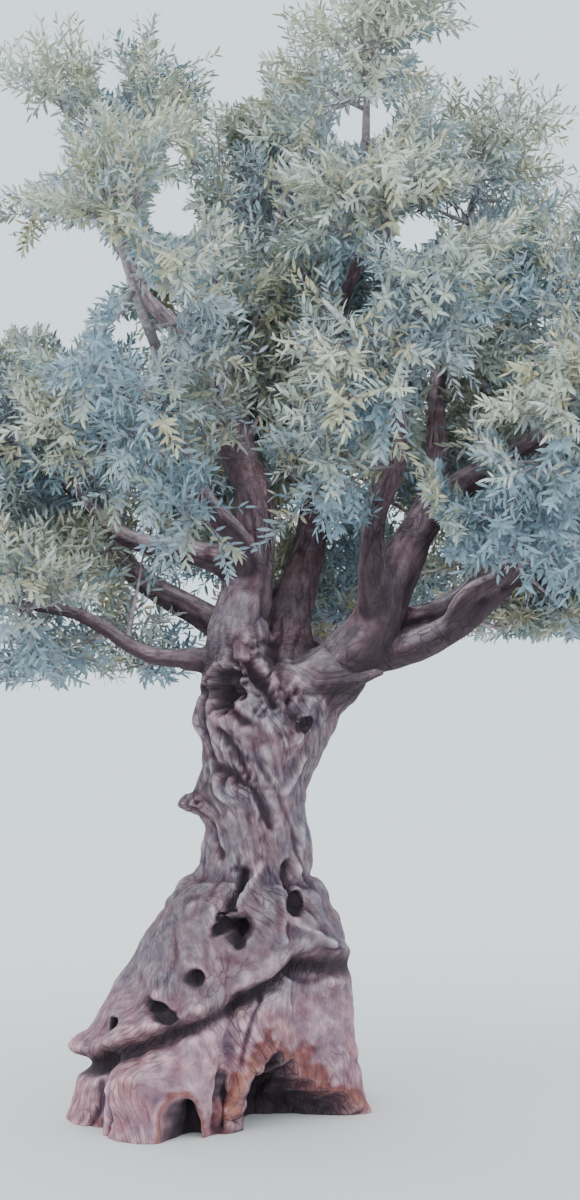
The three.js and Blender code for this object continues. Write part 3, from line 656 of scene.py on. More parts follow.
# Welding and relief
def weld(name, shells, voxel):
    """Closed shells joined into one skin of small even faces."""
    faces, start = [], 0
    for points, loops in shells:
        faces.extend([[start + i for i in loop] for loop in loops])
        start += len(points)
    rough = new_mesh(name + "_rough", np.concatenate([points for points, _ in shells]), faces)
    rough = new_object(name + "_rough", rough)
    remesh = rough.modifiers.new("weld", "REMESH")
    remesh.mode = "VOXEL"
    remesh.voxel_size = voxel
    made = bpy.data.meshes.new_from_object(rough.evaluated_get(bpy.context.evaluated_depsgraph_get()))
    bpy.data.objects.remove(rough)
    points = np.empty(len(made.vertices) * 3)
    made.vertices.foreach_get("co", points)
    corners = np.empty(len(made.loops), dtype=np.int32)
    made.loops.foreach_get("vertex_index", corners)
    bpy.data.meshes.remove(made)
    return points.reshape(-1, 3), corners.reshape(-1, 4)


class Skin:
    """A skin of four-sided faces, with what smoothing and displacing it takes."""

    def __init__(self, points, quads):
        self.points, self.quads = points, quads
        edges = np.concatenate([quads[:, [i, (i + 1) % 4]] for i in range(4)])
        edges = np.unique(np.sort(edges, axis=1), axis=0)
        self.ends = np.concatenate([edges[:, 0], edges[:, 1]])
        self.others = np.concatenate([edges[:, 1], edges[:, 0]])
        self.degree = np.maximum(np.bincount(self.ends, minlength=len(points)), 1)

    def averaged(self, values, rounds):
        """The values, each moved half way to its neighbours' mean, this many times."""
        for _ in range(rounds):
            columns = [np.bincount(self.ends, column[self.others], len(values)) for column in values.T]
            values = 0.5 * values + 0.5 * np.stack(columns, axis=-1) / self.degree[:, None]
        return values

    def normals(self):
        corner = self.points[self.quads]
        face = np.cross(corner[:, 2] - corner[:, 0], corner[:, 3] - corner[:, 1])
        total = np.zeros_like(self.points)
        for k in range(3):
            for c in range(4):
                total[:, k] += np.bincount(self.quads[:, c], face[:, k], len(self.points))
        return unit(total)

    def crest(self):
        """How far each point stands above the surface round it."""
        total = 0
        for rounds, unit_height, share in CRESTS:
            rise = ((self.points - self.averaged(self.points, rounds)) * self.normals()).sum(1)
            total = total + share * np.clip(rise / unit_height, -1, 1)
        return total


def bark_layers(ring, along, girth):
    """The relief of bark at places on a limb: ring is a point on the unit circle, along is in metres.
    Gives the height, and how deep in a furrow the place lies."""
    scale = np.clip(girth / RELIEF_GIRTH, SLENDER.depth, 1)
    slender = max(float(np.mean(scale)), SLENDER.waves) ** SLENDER.power
    height = np.zeros(len(along))
    furrow = np.zeros(len(along))
    for k, (around, waves, depth, width) in enumerate(RELIEF):
        place = np.column_stack([ring * (around * slender), along * waves]) + LAYERS_APART * (k + 1)
        value = noise_at(place)
        if not width:
            height += depth * scale * value
            continue
        broken = smoothstep(noise_at(place * FURROW.scale / 2), *FURROW.breaks)
        line = broken * np.exp(-(value / (width * lerp(*FURROW.widths, broken))) ** 2)
        height -= depth * scale * line
        furrow += line * depth / FURROW.full
    return height, furrow


def trunk_place(points):
    """Where points lie on the trunk: angle, height, and distance from its axis."""
    z = np.clip(points[:, 2], 0, TRUNK.height)
    wider, deeper = head_spread(z)
    x = (points[:, 0] - trunk_axis(z)) / wider
    y = points[:, 1] / deeper
    return np.degrees(np.arctan2(y, x)) % 360, z, np.hypot(x, y)


def distance_to_path(spots, path):
    """How far the spots lie from a path of angles and heights, across the bark."""
    nearest = np.full(len(spots.z), np.inf)
    for (a0, z0), (a1, z1) in zip(path[:-1], path[1:]):
        px, py = offset_from(spots, a0, z0)
        qx, qy = math.radians(a1 - a0) * spots.mean, z1 - z0
        t = np.clip((px * qx + py * qy) / (qx * qx + qy * qy), 0, 1)
        nearest = np.minimum(nearest, np.hypot(px - t * qx, py - t * qy))
    return nearest


def limb_place(points, limb):
    """Where points lie on a limb: ring position, length along it, its radius there, distance outside it."""
    nearest = np.zeros(len(points), dtype=int)
    best = np.full(len(points), np.inf)
    for i, centre in enumerate(limb.line):
        gap = ((points - centre) ** 2).sum(1)
        closer = gap < best
        best[closer] = gap[closer]
        nearest[closer] = i
    offset = points - limb.line[nearest]
    over, right, high = ((offset * axis[nearest]).sum(1) for axis in (limb.along, limb.across, limb.up))
    away = np.hypot(right, high)
    radius = limb.radii[nearest]
    ring = np.column_stack([right, high]) / np.maximum(away, 1e-6)[:, None]
    beyond = np.maximum(np.abs(over) - limb.length / (len(limb.line) - 1), 0)
    return ring, limb.at[nearest] + over, radius, np.maximum(away - radius, 0) + beyond


class Bark:
    """The relief of a skin's bark and the marks of its colours, gathered from the trunk and the limbs and
    blended where they meet."""

    def __init__(self, points):
        self.points = points
        self.total = np.full(len(points), 1e-6)
        self.height, self.furrow, self.carved, self.cleft = np.zeros((4, len(points)))
        self.wine, self.rust, self.hollow = np.zeros((3, len(points)))
        self.fibre, self.pushed = np.zeros((2, len(points), 3))

    def add(self, pick, weight, layer, lines, fibre):
        """Adds a layer of relief and furrows, and coordinates that run with the fibres."""
        self.total[pick] += weight
        self.height[pick] += weight * layer
        self.furrow[pick] += weight * lines
        self.fibre[pick] += weight[:, None] * fibre

    def mark(self, **amounts):
        """Raises the marks of colours to at least these amounts."""
        for key, amount in amounts.items():
            setattr(self, key, np.maximum(getattr(self, key), amount))

    def add_trunk(self):
        angle, z, away = trunk_place(self.points)
        spots = trunk_spots(angle, z)
        turned = np.radians(angle - trunk_twist(z) + SWIRL.turn * noise_at(self.points * SWIRL.scale))
        ring = np.column_stack([np.cos(turned), np.sin(turned)])
        weight = 1 - smoothstep(self.points[:, 2], TRUNK.height - MEETING.below, TRUNK.height + MEETING.above)
        layer, lines = bark_layers(ring * (away / spots.mean)[:, None], z, np.full(len(z), RELIEF_GIRTH))
        calm = lerp(1.0, DOME_RELIEF, dome_share(angle, z))
        calm = calm * lerp(FOOT_RELIEF, 1.0, smoothstep(z, *FOOT_HEIGHTS))
        self.add(slice(None), weight, layer * calm, lines * calm, np.column_stack([ring * away[:, None], z]))
        self.carve(spots)
        self.mark_ledge(spots)
        self.mark_hollows(spots, weight)

    def carve(self, spots):
        """Cuts the clefts and raises the edges."""
        for path, wide, deep in CLEFTS:
            shape = np.exp(-(distance_to_path(spots, path) * (1 + CLEFT.ragged * spots.wander) / wide) ** 2)
            self.carved -= deep * shape
            # A cleft is painted wine-dark and darker as shade, the more so the deeper it is.
            self.mark(cleft=shape ** 2 * min(1, deep / CLEFT.dark))
        for path, wide, out in EDGES:
            self.carved += hump(distance_to_path(spots, path), out, 0, wide)
        fade = 1 - smoothstep(self.points[:, 2], *CARVING)
        self.carved, self.cleft = self.carved * fade, self.cleft * fade
        self.mark(wine=self.cleft)

    def mark_ledge(self, spots):
        above = above_ledge(spots.angle, spots.z)
        under = hump(above, 1, *LEDGE.crease[1:])
        present = smoothstep(spots.angle, LEDGE.first, LEDGE.first + LEDGE.fade)
        # The crease under the lip is painted wine-dark and dark as shadow, and the lip's lower half wine-dark
        # as shade.
        self.mark(wine=present * under, hollow=CREASE_SHADOW * present * under)
        self.mark(wine=present * hump(above, *LIP_SHADE))

    def mark_hollows(self, spots, weight):
        """Paints shade into the hollows, colours round them, and cuts those that go through the feet of
        boughs too.
        """
        inward = [trunk_axis(spots.z) - self.points[:, 0], -self.points[:, 1], 0 * spots.z]
        inward = unit(np.column_stack(inward))
        for hollow in HOLLOWS + HEAD_HOLLOWS + GROUND_HOLLOWS:
            away = hollow_distance(spots, hollow)
            # The inside of a hollow is painted dark as shade, fully so once it is deep.
            dark = (1 - smoothstep(away, *HOLLOW_SHADE)) * min(1, hollow[4] / DARK_FROM_DEPTH)
            self.mark(hollow=dark * weight)
            if hollow in GROUND_HOLLOWS:
                self.mark(rust=hump(away, *RUST_RIM))
            else:
                self.mark(wine=hump(away, *HOLLOW_STAIN))
            if hollow in HEAD_HOLLOWS:
                self.pushed += inward * hollow_depth(away, hollow)[:, None]
                self.carved += hump(away, *HOLLOW_ROLL)
        for stain in WINE_PATCHES:
            self.mark(wine=hump(hollow_distance(spots, stain[:4]), stain[4], 0, 1))
        for stain in STAINS:
            self.mark(rust=hump(hollow_distance(spots, stain), 1, 0, 1))

    def add_limb(self, k, limb, with_trunk):
        ring, along, radius, outside = limb_place(self.points, limb)
        weight = hump(outside, 1, 0, MEETING.reach)
        if with_trunk:
            weight = weight * smoothstep(self.points[:, 2], TRUNK.height - MEETING.limbs_from, TRUNK.height)
        pick = weight > MEETING.least
        if pick.any():
            layer, lines = bark_layers(ring[pick], along[pick] + LIMBS_APART * k, radius[pick])
            fibre = np.column_stack([ring[pick] * radius[pick, None], along[pick]])
            self.add(pick, weight[pick], layer, lines, fibre)
            # A limb that stands in shade is painted wine-dark and darker as shade.
            wine = SHADED_LIMBS.get(limb.name, 0)
            self.mark(wine=wine * weight, hollow=LIMB_SHADE * wine * weight)

    def paint_shade_and_highlight(self, rise):
        """Paints wine-dark shade on the undersides of boughs and a pale highlight on their tops."""
        z = self.points[:, 2]
        high = smoothstep(z, *SHADE_AND_HIGHLIGHT.heights)
        under = high * smoothstep(-rise, *SHADE_AND_HIGHLIGHT.down)
        under = under * lerp(1, SHADE_AND_HIGHLIGHT.crown, smoothstep(z, *SHADE_AND_HIGHLIGHT.crown_heights))
        self.mark(wine=under, hollow=SHADE_AND_HIGHLIGHT.dark * under)
        self.bleached = high * smoothstep(rise, *SHADE_AND_HIGHLIGHT.up) * (1 - self.wine)

    def displace(self, skin):
        """Moves the skin's points in and out."""
        lumps = sum(depth * noise_at(self.points * scale) for scale, depth in LUMPS)
        girth = np.hypot(self.fibre[:, 0], self.fibre[:, 1]) / self.total / RELIEF_GIRTH
        girth = np.clip(girth, SLENDER.lumps, 1)
        out = self.height / self.total + lumps * girth + self.carved
        skin.points = skin.averaged(self.points + skin.normals() * out[:, None] + self.pushed, 1)
        self.furrow = np.maximum(self.furrow, CLEFT.furrow * self.cleft * self.total) / self.total
        self.fibre = self.fibre / self.total[:, None]


def bark_piece(name, shells, voxel, smoothing, limbs, with_trunk):
    """Shells welded into one piece of bark. Its mesh holds what its material reads."""
    skin = Skin(*weld(name, shells, voxel))
    skin.points = skin.averaged(skin.points, smoothing)
    bark = Bark(skin.points)
    if with_trunk:
        bark.add_trunk()
    for k, limb in enumerate(limbs):
        bark.add_limb(k, limb, with_trunk)
    # Painted shade under the boughs and a painted highlight on their tops.
    bark.paint_shade_and_highlight(skin.normals()[:, 2])
    bark.displace(skin)
    # The crest value pales the crests, partly as painted highlight, and the bough tops wholly so; the furrow
    # value darkens partly as painted shade, the wine value is stain and painted shade, the hollow value
    # painted shade.
    values = {"crest": skin.crest() + SHADE_AND_HIGHLIGHT.bleached * bark.bleached, "furrow": np.clip(bark.furrow, 0, 1),
              "wine": bark.wine, "rust": bark.rust, "hollow": bark.hollow}
    mesh = new_mesh(name, skin.points, skin.quads.tolist())
    for key, data in values.items():
        mesh.attributes.new(key, "FLOAT", "POINT").data.foreach_set("value", data.astype(np.float32))
    fibres = mesh.attributes.new("fibre", "FLOAT_VECTOR", "POINT")
    fibres.data.foreach_set("vector", bark.fibre.astype(np.float32).ravel())
    if with_trunk:
        cut_at_ground(mesh)
    return new_object(name, mesh)


def cut_at_ground(mesh):
    work = bmesh.new()
    work.from_mesh(mesh)
    everything = work.verts[:] + work.edges[:] + work.faces[:]
    cut = bmesh.ops.bisect_plane(work, geom=everything, plane_co=(0, 0, GROUND_CUT), plane_no=(0, 0, 1),
                                 clear_inner=True)
    rim = [item for item in cut["geom_cut"] if isinstance(item, bmesh.types.BMEdge)]
    bmesh.ops.holes_fill(work, edges=rim, sides=0)
    work.to_mesh(mesh)
    work.free()
    mesh.update()
    mesh.shade_smooth()


# The masses of foliage
def lay_out_masses(limbs):
    masses = []
    for index, limb in enumerate([one for one in limbs.values() if one.reach]):
        direction = tangents(limb.points)[-1]
        start = limb.points[-1] + direction * GAP
        raised = unit(direction + UP * math.tan(math.radians(STEM.lift)))
        step = STEM.share * limb.reach / STEM.steps
        points = [start]
        for i in range(STEM.steps):
            points.append(points[-1] + (raised if i else direction) * step)
        masses.append(Values(
            name=limb.name.replace("bough", "foliage").replace("fork", "foliage_fork"), limb=limb,
            reach=limb.reach, centre=start + direction * STEM.centre * limb.reach, points=np.array(points),
            radii=limb.tip * lerp(STEM.girth, STEM.taper, np.linspace(0, 1, STEM.steps + 1)),
            seed=SEED.first + SEED.step * index,
            outer=limb.line[limb.at >= LIMB_TWIGS.first * limb.length][::3],
        ))
    return masses


def sight_of(points):
    """The bearing and elevation at which the viewer sees points, and how far ahead they are."""
    sight = points - EYE
    ahead = np.hypot(sight[:, 0], sight[:, 1])
    bearing = np.degrees(np.arctan2(sight[:, 0], sight[:, 1]))
    return bearing, np.degrees(np.arctan2(sight[:, 2], ahead)), ahead


def seen_in_crown(points):
    """True where the viewer sees a point against the crown, not in a patch of sky or below the crown."""
    bearing, elevation, ahead = sight_of(points)
    across = smoothstep(bearing, *UNDERSIDE.bearings)
    seen = elevation >= lerp(UNDERSIDE.left, UNDERSIDE.right, across)
    sight = np.column_stack([bearing, elevation, 0 * bearing])
    wander = 1 + SKY_RAGGED.size * noise_at(sight * SKY_RAGGED.waves)
    for side, up, wide, tall, depth in SKY:
        outside = wander * np.hypot((bearing - side) / wide, (elevation - up) / tall) > 1
        seen &= outside if depth is None else outside | (ahead > depth)
    return seen


def inside_cell(points, mass, masses):
    """True where a point lies within this mass's reach or near its limb, and on its side of the planes that
    part it from the others."""
    own = ((points - mass.centre) ** 2).sum(1) - mass.reach ** 2
    inside = own < 0
    for centre in mass.outer:
        inside |= ((points - centre) ** 2).sum(1) < LIMB_TWIGS.near ** 2
    for other in masses:
        if other is not mass:
            inside &= ((points - other.centre) ** 2).sum(1) - other.reach ** 2 > own
    return inside


def clear_of_limbs(points, limbs):
    """True where a point lies clear of every limb."""
    clear = np.ones(len(points), dtype=bool)
    for limb in limbs.values():
        for start, end in zip(limb.points[:-1], limb.points[1:]):
            way = end - start
            t = np.clip((points - start) @ way / (way @ way), 0, 1)
            gap = np.linalg.norm(points - start - t[:, None] * way, axis=1)
            clear &= gap > LIMB_THICK * limb.girth + CLEARANCE
    return clear


def fits(points, mass, masses, limbs):
    low, high = np.array(CAD_BOX[0]), np.array(CAD_BOX[1])
    good = ((points > low) & (points < high)).all(1)
    good &= inside_cell(points, mass, masses)
    good &= seen_in_crown(points)
    left = np.flatnonzero(good)
    good[left] = clear_of_limbs(points[left], limbs)
    return good


def leaning(way, turn, angle):
    """Directions that lean away from a way at an angle, turned round it."""
    across = unit(np.cross(way, UP) + np.array([1e-4, 0, 0]))
    other = np.cross(way, across)
    turned, lean = np.radians(turn)[:, None], np.radians(angle)[:, None]
    outward = across * np.cos(turned) + other * np.sin(turned)
    return way * np.cos(lean) + outward * np.sin(lean)


def bent_twig(begin, way, angle, turn, length, lift):
    """Twigs that leave at an angle to their parents and bend upward half way."""
    direction = leaning(way, turn, angle)
    bent = unit(direction + UP * math.tan(math.radians(lift)))
    half = length[:, None] / 2
    elbow = begin + direction * half
    return {"root": begin, "elbow": elbow, "tip": elbow + bent * half}


def find_twigs(begin, way, angle, turn, length, rule, test):
    """Twigs with a root, an elbow and a tip. One that doesn't fit is turned and made a little smaller,
    until it does or is left out."""
    kept = {key: np.zeros((len(begin), 3)) for key in ENDS}
    done = np.zeros(len(begin), dtype=bool)
    for attempt in range(rule.tries):
        left = np.flatnonzero(~done)
        if not len(left):
            break
        made = bent_twig(begin[left], way[left], angle[left], turn[left] + RETRY.turn * attempt,
                         length[left] * RETRY.shrink ** attempt, rule.lift)
        good = test(made)
        for key in kept:
            kept[key][left[good]] = made[key][good]
        done[left[good]] = True
    return {key: value[done] for key, value in kept.items()}


def spread(random, many, wide):
    """Random numbers spread evenly about 0."""
    return wide * (random.random(many) - 0.5)


def limb_twigs(limb, random, test):
    """Main twigs on the outer part of a limb."""
    spots = np.arange(LIMB_TWIGS.first * limb.length, limb.length, LIMB_TWIGS.each)
    begin, way = (np.stack([np.interp(spots, limb.at, values[:, k]) for k in range(3)], axis=-1)
                  for values in (limb.line, limb.along))
    angle = LIMB_TWIGS.angle + spread(random, len(spots), LIMB_TWIGS.spare)
    turn = TURN * np.arange(len(spots)) + 360 * random.random()
    length = LIMB_TWIGS.length * (LIMB_TWIGS.least + LIMB_TWIGS.vary * random.random(len(spots)))
    return find_twigs(begin, unit(way), angle, turn, length, MAIN, test)


def along_twigs(twigs, owner, spot):
    """Places on twigs, at a share of each one's length, and which way the twig runs there."""
    root, elbow, tip = (twigs[key][owner] for key in ENDS)
    lower = (spot < 0.5)[:, None]
    t = np.where(lower[:, 0], spot * 2, spot * 2 - 1)[:, None]
    begin = np.where(lower, lerp(root, elbow, t), lerp(elbow, tip, t))
    return begin, unit(np.where(lower, elbow - root, tip - elbow))


def branch(parents, rule, full, random, test):
    """Twigs from parent twigs, at a fixed turn from one to the next."""
    many = len(parents["root"])
    share = np.tile(np.linspace(0, 1, rule.count), many)
    owner = np.repeat(np.arange(many), rule.count)
    begin, way = along_twigs(parents, owner, lerp(rule.first, 1.0, share))
    angle = lerp(*rule.angles, share) + spread(random, len(share), rule.spare)
    turn = TURN * np.arange(len(share)) + 360 * random.random(many)[owner]
    length = full * (1 - rule.shorten * share)
    length = length * (TWIG_LENGTHS.least + TWIG_LENGTHS.vary * random.random(len(share)))
    return find_twigs(begin, way, angle, turn, length, rule, test)


def joined(groups):
    return {key: np.concatenate([group[key] for group in groups]) for key in ENDS}


def grow_mass(mass, masses, limbs):
    """The twigs of one mass, level by level, from its stem to its shoots."""
    random = np.random.default_rng(mass.seed)

    def test(made):
        good = np.ones(len(made["root"]), dtype=bool)
        for points in (made["elbow"], lerp(made["elbow"], made["tip"], 0.5), made["tip"]):
            good &= fits(points, mass, masses, limbs)
        return good & seen_in_crown(lerp(made["root"], made["elbow"], 0.5))

    points = mass.points
    stem = {"root": points[:1], "elbow": lerp(points[1:2], points[2:3], 0.5), "tip": points[3:4]}
    main = branch(stem, MAIN, MAIN.length * mass.reach, random, test)
    main = joined([main, limb_twigs(mass.limb, random, test)])
    side = branch(joined([main, stem]), SIDE, SIDE.length, random, test)
    return {"main": main, "side": side, "shoot": branch(side, SHOOT, SHOOT.length, random, test)}


def painted_spray_light(shoots, mass):
    """The painted light of each shoot: how much light reaches it, from about 0 deep in the crown to 1 on its
    sunny outside.
    """
    middle = shoots["elbow"]
    outward = (middle - mass.centre) / mass.reach
    low, high = CAD_BOX[0][2] + TRUNK.height, CAD_BOX[1][2]
    light = PAINTED_LIGHT.outer * np.linalg.norm(outward, axis=1) + PAINTED_LIGHT.sunny * (outward @ unit(SUN))
    light = light + PAINTED_LIGHT.height * ((middle[:, 2] - low) / (high - low))
    for scale, shift, size in PAINTED_LIGHT.patches:
        light = light + size * noise_at(middle * scale + shift)
    bearing, elevation, _ = sight_of(middle)
    # Places painted sunlit are lighter, those painted in shade darker.
    for side, up, wide, tall, gain in SUNLIT_AND_SHADED_PLACES:
        light = light + gain * np.exp(-((bearing - side) / wide) ** 2 - ((elevation - up) / tall) ** 2)
    return light


def crown_depth(points, masses):
    """How deep points lie inside the crown, as the reach of all its masses together."""
    return np.max([mass.reach - np.linalg.norm(points - mass.centre, axis=1) for mass in masses], axis=0)


def leaf_mesh(shoots, random):
    """Leaves in pairs along each shoot and at its tip. Each is a long curved outline of four faces."""
    many = len(shoots["root"])
    owner = np.repeat(np.arange(many), 2 * LEAF.pairs)
    spot = np.tile(np.repeat(np.linspace(LEAF.first, 1, LEAF.pairs), 2), many)
    begin, way = along_twigs(shoots, owner, spot)
    number = np.tile(np.repeat(np.arange(LEAF.pairs), 2), many)
    which = np.tile(np.array([0, 1]), many * LEAF.pairs)
    turn = 90 * number + 180 * which + (360 * random.random(many))[owner]
    turn = turn + spread(random, len(spot), LEAF.spare_turn)
    angle = LEAF.angle * (LEAF.open - LEAF.close * spot) + spread(random, len(spot), LEAF.spare_angle)
    ahead = leaning(way, turn, angle)
    face = way - ahead * (way * ahead).sum(1, keepdims=True) + LEAF.skyward * (UP - ahead * ahead[:, 2:3])
    face = unit(face)
    side = np.cross(ahead, face)
    roll = np.radians(spread(random, len(spot), 2 * LEAF.roll))[:, None]
    face, side = face * np.cos(roll) + side * np.sin(roll), side * np.cos(roll) - face * np.sin(roll)
    size = (1 + spread(random, len(spot), 2 * LEAF.vary)) * (LEAF.large - LEAF.small * spot)
    length = LEAF.length * size[:, None]
    half = LEAF.width / 2 * size[:, None]
    points = []
    for station, wide in LEAF_OUTLINE:
        droop = LEAF.bend * length * station ** 2
        points.append(begin + ahead * length * station + side * half * wide - face * droop)
    base = len(LEAF_OUTLINE) * np.arange(len(spot))[:, None, None]
    return np.stack(points, axis=1).reshape(-1, 3), (base + np.array(LEAF_FACES)).reshape(-1, 3)


def twig_tubes(twigs, rule):
    """Thin closed tubes along twigs of two straight parts, ending in a point, as points and triangles."""
    sides = rule.sides
    along = unit(twigs["tip"] - twigs["root"])
    across = unit(np.cross(along, SLANT))
    other = np.cross(along, across)
    rings = []
    for centre, thick in ((twigs["root"], rule.radius), (twigs["elbow"], rule.middle)):
        for k in range(sides):
            turn = 2 * math.pi * k / sides
            rings.append(centre + thick * (across * math.cos(turn) + other * math.sin(turn)))
    points = np.stack(rings + [twigs["tip"]], axis=1).reshape(-1, 3)
    faces = [[0, k + 1, k] for k in range(1, sides - 1)]
    for k in range(sides):
        after = (k + 1) % sides
        faces += [[k, after, after + sides], [k, after + sides, k + sides]]
        faces.append([k + sides, after + sides, 2 * sides])
    base = (2 * sides + 1) * np.arange(len(along))[:, None, None]
    return points, (base + np.array(faces)).reshape(-1, 3)


# Materials
class Paint:
    """A material, and short ways to add nodes to it. Each gives the new node's output."""

    def __init__(self, name, roughness):
        self.material = bpy.data.materials.new(name)
        self.material.use_nodes = True
        self.tree = self.material.node_tree
        self.shader = self.tree.nodes["Principled BSDF"]
        self.fill(self.shader, {"Roughness": roughness})

    def fill(self, made, inputs):
        for key, value in inputs.items():
            if isinstance(value, bpy.types.NodeSocket):
                self.tree.links.new(value, made.inputs[key])
            else:
                made.inputs[key].default_value = value

    def node(self, kind, inputs, output=0, **settings):
        made = self.tree.nodes.new("ShaderNode" + kind)
        for key, value in settings.items():
            setattr(made, key, value)
        self.fill(made, inputs)
        return made.outputs[output]

    def place(self):
        return self.node("TexCoord", {}, "Object")

    def attribute(self, name, output="Fac"):
        return self.node("Attribute", {}, output, attribute_name=name)

    def math(self, operation, a, b):
        return self.node("Math", {0: a, 1: b}, operation=operation)

    def scaled(self, a, b):
        return self.math("MULTIPLY", a, b)

    def mix(self, factor, a, b, blend="MIX"):
        return self.node("Mix", {0: factor, 6: a, 7: b}, 2, data_type="RGBA", blend_type=blend)

    def noise(self, vector, scale, detail, roughness=0.6):
        inputs = {"Vector": vector, "Scale": scale, "Detail": detail, "Roughness": roughness}
        return self.node("TexNoise", inputs, "Fac")

    def drawn_out(self, vector, along):
        """The vector, drawn out along the fibres where the scale along them is under 1."""
        return self.node("Mapping", {"Vector": vector, "Scale": (1, 1, along)})

    def ramp(self, factor, stops):
        """Colours, or plain numbers for shades of grey, by a factor."""
        made = self.tree.nodes.new("ShaderNodeValToRGB")
        elements = made.color_ramp.elements
        while len(elements) < len(stops):
            elements.new(0.5)
        for element, (position, colour) in zip(elements, stops):
            element.position = position
            element.color = (*(colour if isinstance(colour, tuple) else [colour] * 3), 1)
        self.fill(made, {"Fac": factor})
        return made.outputs["Color"]

    def cracks(self, vector, scale):
        """Thin wandering cracks between scales of bark, from 0 to 1 in the middle of a crack."""
        wander = self.node("TexNoise", {"Vector": vector, "Scale": scale * 0.7}, "Color")
        inputs = {0: wander, 1: [1.1 / scale] * 3, 2: vector}
        pushed = self.node("VectorMath", inputs, operation="MULTIPLY_ADD")
        inputs = {"Vector": pushed, "Scale": scale}
        cells = self.node("TexVoronoi", inputs, "Distance", feature="DISTANCE_TO_EDGE")
        return self.ramp(cells, [(0.0, 1), (0.11, 0)])

    def finish(self, colour, relief=None, strength=1.0, distance=0.0):
        self.fill(self.shader, {"Base Color": colour})
        if relief is not None:
            bump = self.node("Bump", {"Strength": strength, "Distance": distance, "Height": relief})
            self.fill(self.shader, {"Normal": bump})
        return self.material


def bark_material():
    """Grey wood with pale crests, dark furrows, fine cracks, wine and rust on the old wood, and painted
    shade.
    """
    paint = Paint("bark", 0.86)
    place = paint.place()
    fibre = paint.attribute("fibre", "Vector")
    grain = paint.noise(paint.drawn_out(fibre, 0.24), 30, 6, 0.62)
    fine = paint.noise(paint.drawn_out(fibre, 0.3), 110, 4, 0.7)
    patch = paint.noise(place, 5.5, 4)
    spots = paint.noise(place, 19, 5)
    worn = paint.ramp(paint.noise(place, 3.1, 3), [(0.4, 0.25), (0.62, 1)])
    cracks = paint.scaled(paint.cracks(paint.drawn_out(fibre, 0.34), 27), worn)

    # The level runs from 0 in the furrows to 1 on the crests, and grain and spots move it up and down.
    # Its rise on the crests and bough tops is partly painted highlight, its fall in the furrows partly
    # painted shade.
    level = paint.math("ADD", paint.scaled(paint.attribute("crest"), 0.46), 0.47)
    for value, share in ((paint.attribute("furrow"), -0.24), (cracks, -0.11)):
        level = paint.math("ADD", level, paint.scaled(value, share))
    for value, share in ((grain, 0.58), (spots, 0.72), (fine, 0.3)):
        level = paint.math("ADD", level, paint.scaled(paint.math("SUBTRACT", value, 0.5), share))
    choice = paint.ramp(patch, [(0.42, 0), (0.62, 1)])
    colour = paint.mix(choice, paint.ramp(level, COOL_WOOD), paint.ramp(level, WARM_WOOD))
    height = paint.scaled(paint.node("SeparateXYZ", {0: place}, 2), 1 / BARK_TONE_TOP)
    colour = paint.mix(1.0, colour, paint.ramp(height, BARK_TONES), "MULTIPLY")
    # The wine colour is partly stain on the old wood and partly painted shade.
    wine = paint.scaled(paint.attribute("wine"), paint.math("ADD", spots, 0.3))
    colour = paint.mix(wine, colour, paint.ramp(level, WINE_WOOD))
    rust = paint.math("SUBTRACT", paint.scaled(spots, 1.3), 0.65)
    rust = paint.ramp(paint.math("ADD", paint.attribute("rust"), rust), [(0.28, 0), (0.92, 0.85)])
    colour = paint.mix(rust, colour, paint.ramp(level, RUSTY_WOOD))
    # The hollow mark paints shade in hollows, in the crease under the lip, under boughs and on shaded limbs.
    colour = paint.mix(paint.attribute("hollow"), colour, paint.ramp(level, SHADE_WOOD))

    relief = paint.math("ADD", grain, paint.scaled(fine, 0.45))
    relief = paint.math("SUBTRACT", relief, paint.scaled(cracks, 0.6))
    return paint.finish(colour, relief, 1.0, 0.014)


def shaded(paint, colour, scale, detail, dark, light):
    """A colour that wavers from darker to lighter, and the noise that it wavers by."""
    shade = paint.noise(paint.place(), scale, detail)
    stops = [(0.3, tuple(dark * c for c in colour)), (0.7, tuple(light * c for c in colour))]
    return paint.ramp(shade, stops), shade


def leaf_material(name, colour):
    paint = Paint("leaf_" + name, 0.62)
    paint.fill(paint.shader, {"Specular IOR Level": 0.35})
    return paint.finish(shaded(paint, colour, 55, 2, 0.84, 1.16)[0])


def twig_material():
    paint = Paint("twig", 0.8)
    return paint.finish(*shaded(paint, TWIG_COLOUR, 40, 3, 0.6, 1.5), 0.4, 0.002)


# The pieces
def finish_piece(piece, material, nodes):
    piece.data.materials.append(material)
    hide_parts(*nodes)
    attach(piece, "root")


def build_wood(limbs, bark):
    """The trunk with the feet of its boughs, and the boughs beyond them."""
    rooted = [limb for limb in limbs.values() if limb.rooted]

    def foot_scale(at):
        return lerp(1.0, FOOT.taper, smoothstep(at, FOOT.thins * FOOT.length, FOOT.length))

    def bough_scale(at):
        first, last = FOOT.swells
        return lerp(FOOT.shrink, 1.0, smoothstep(at, first * FOOT.length, last * FOOT.length))

    shells = [trunk_shell()] + [limb_tube(limb, 0, FOOT.length, foot_scale) for limb in rooted]
    shells += [limb_rib(limb) for limb in rooted]
    trunk = bark_piece("trunk_bark", shells, VOXEL.trunk, SMOOTHING.trunk, rooted, True)
    finish_piece(trunk, bark, ["trunk"])

    shells = []
    for limb in limbs.values():
        first, scale = (FOOT.begin, bough_scale) if limb.rooted else (0, lambda at: 1.0)
        shells.append(limb_tube(limb, first, limb.length, scale))
    boughs = bark_piece("bough_bark", shells, VOXEL.boughs, SMOOTHING.boughs, limbs.values(), False)
    finish_piece(boughs, bark, list(limbs))


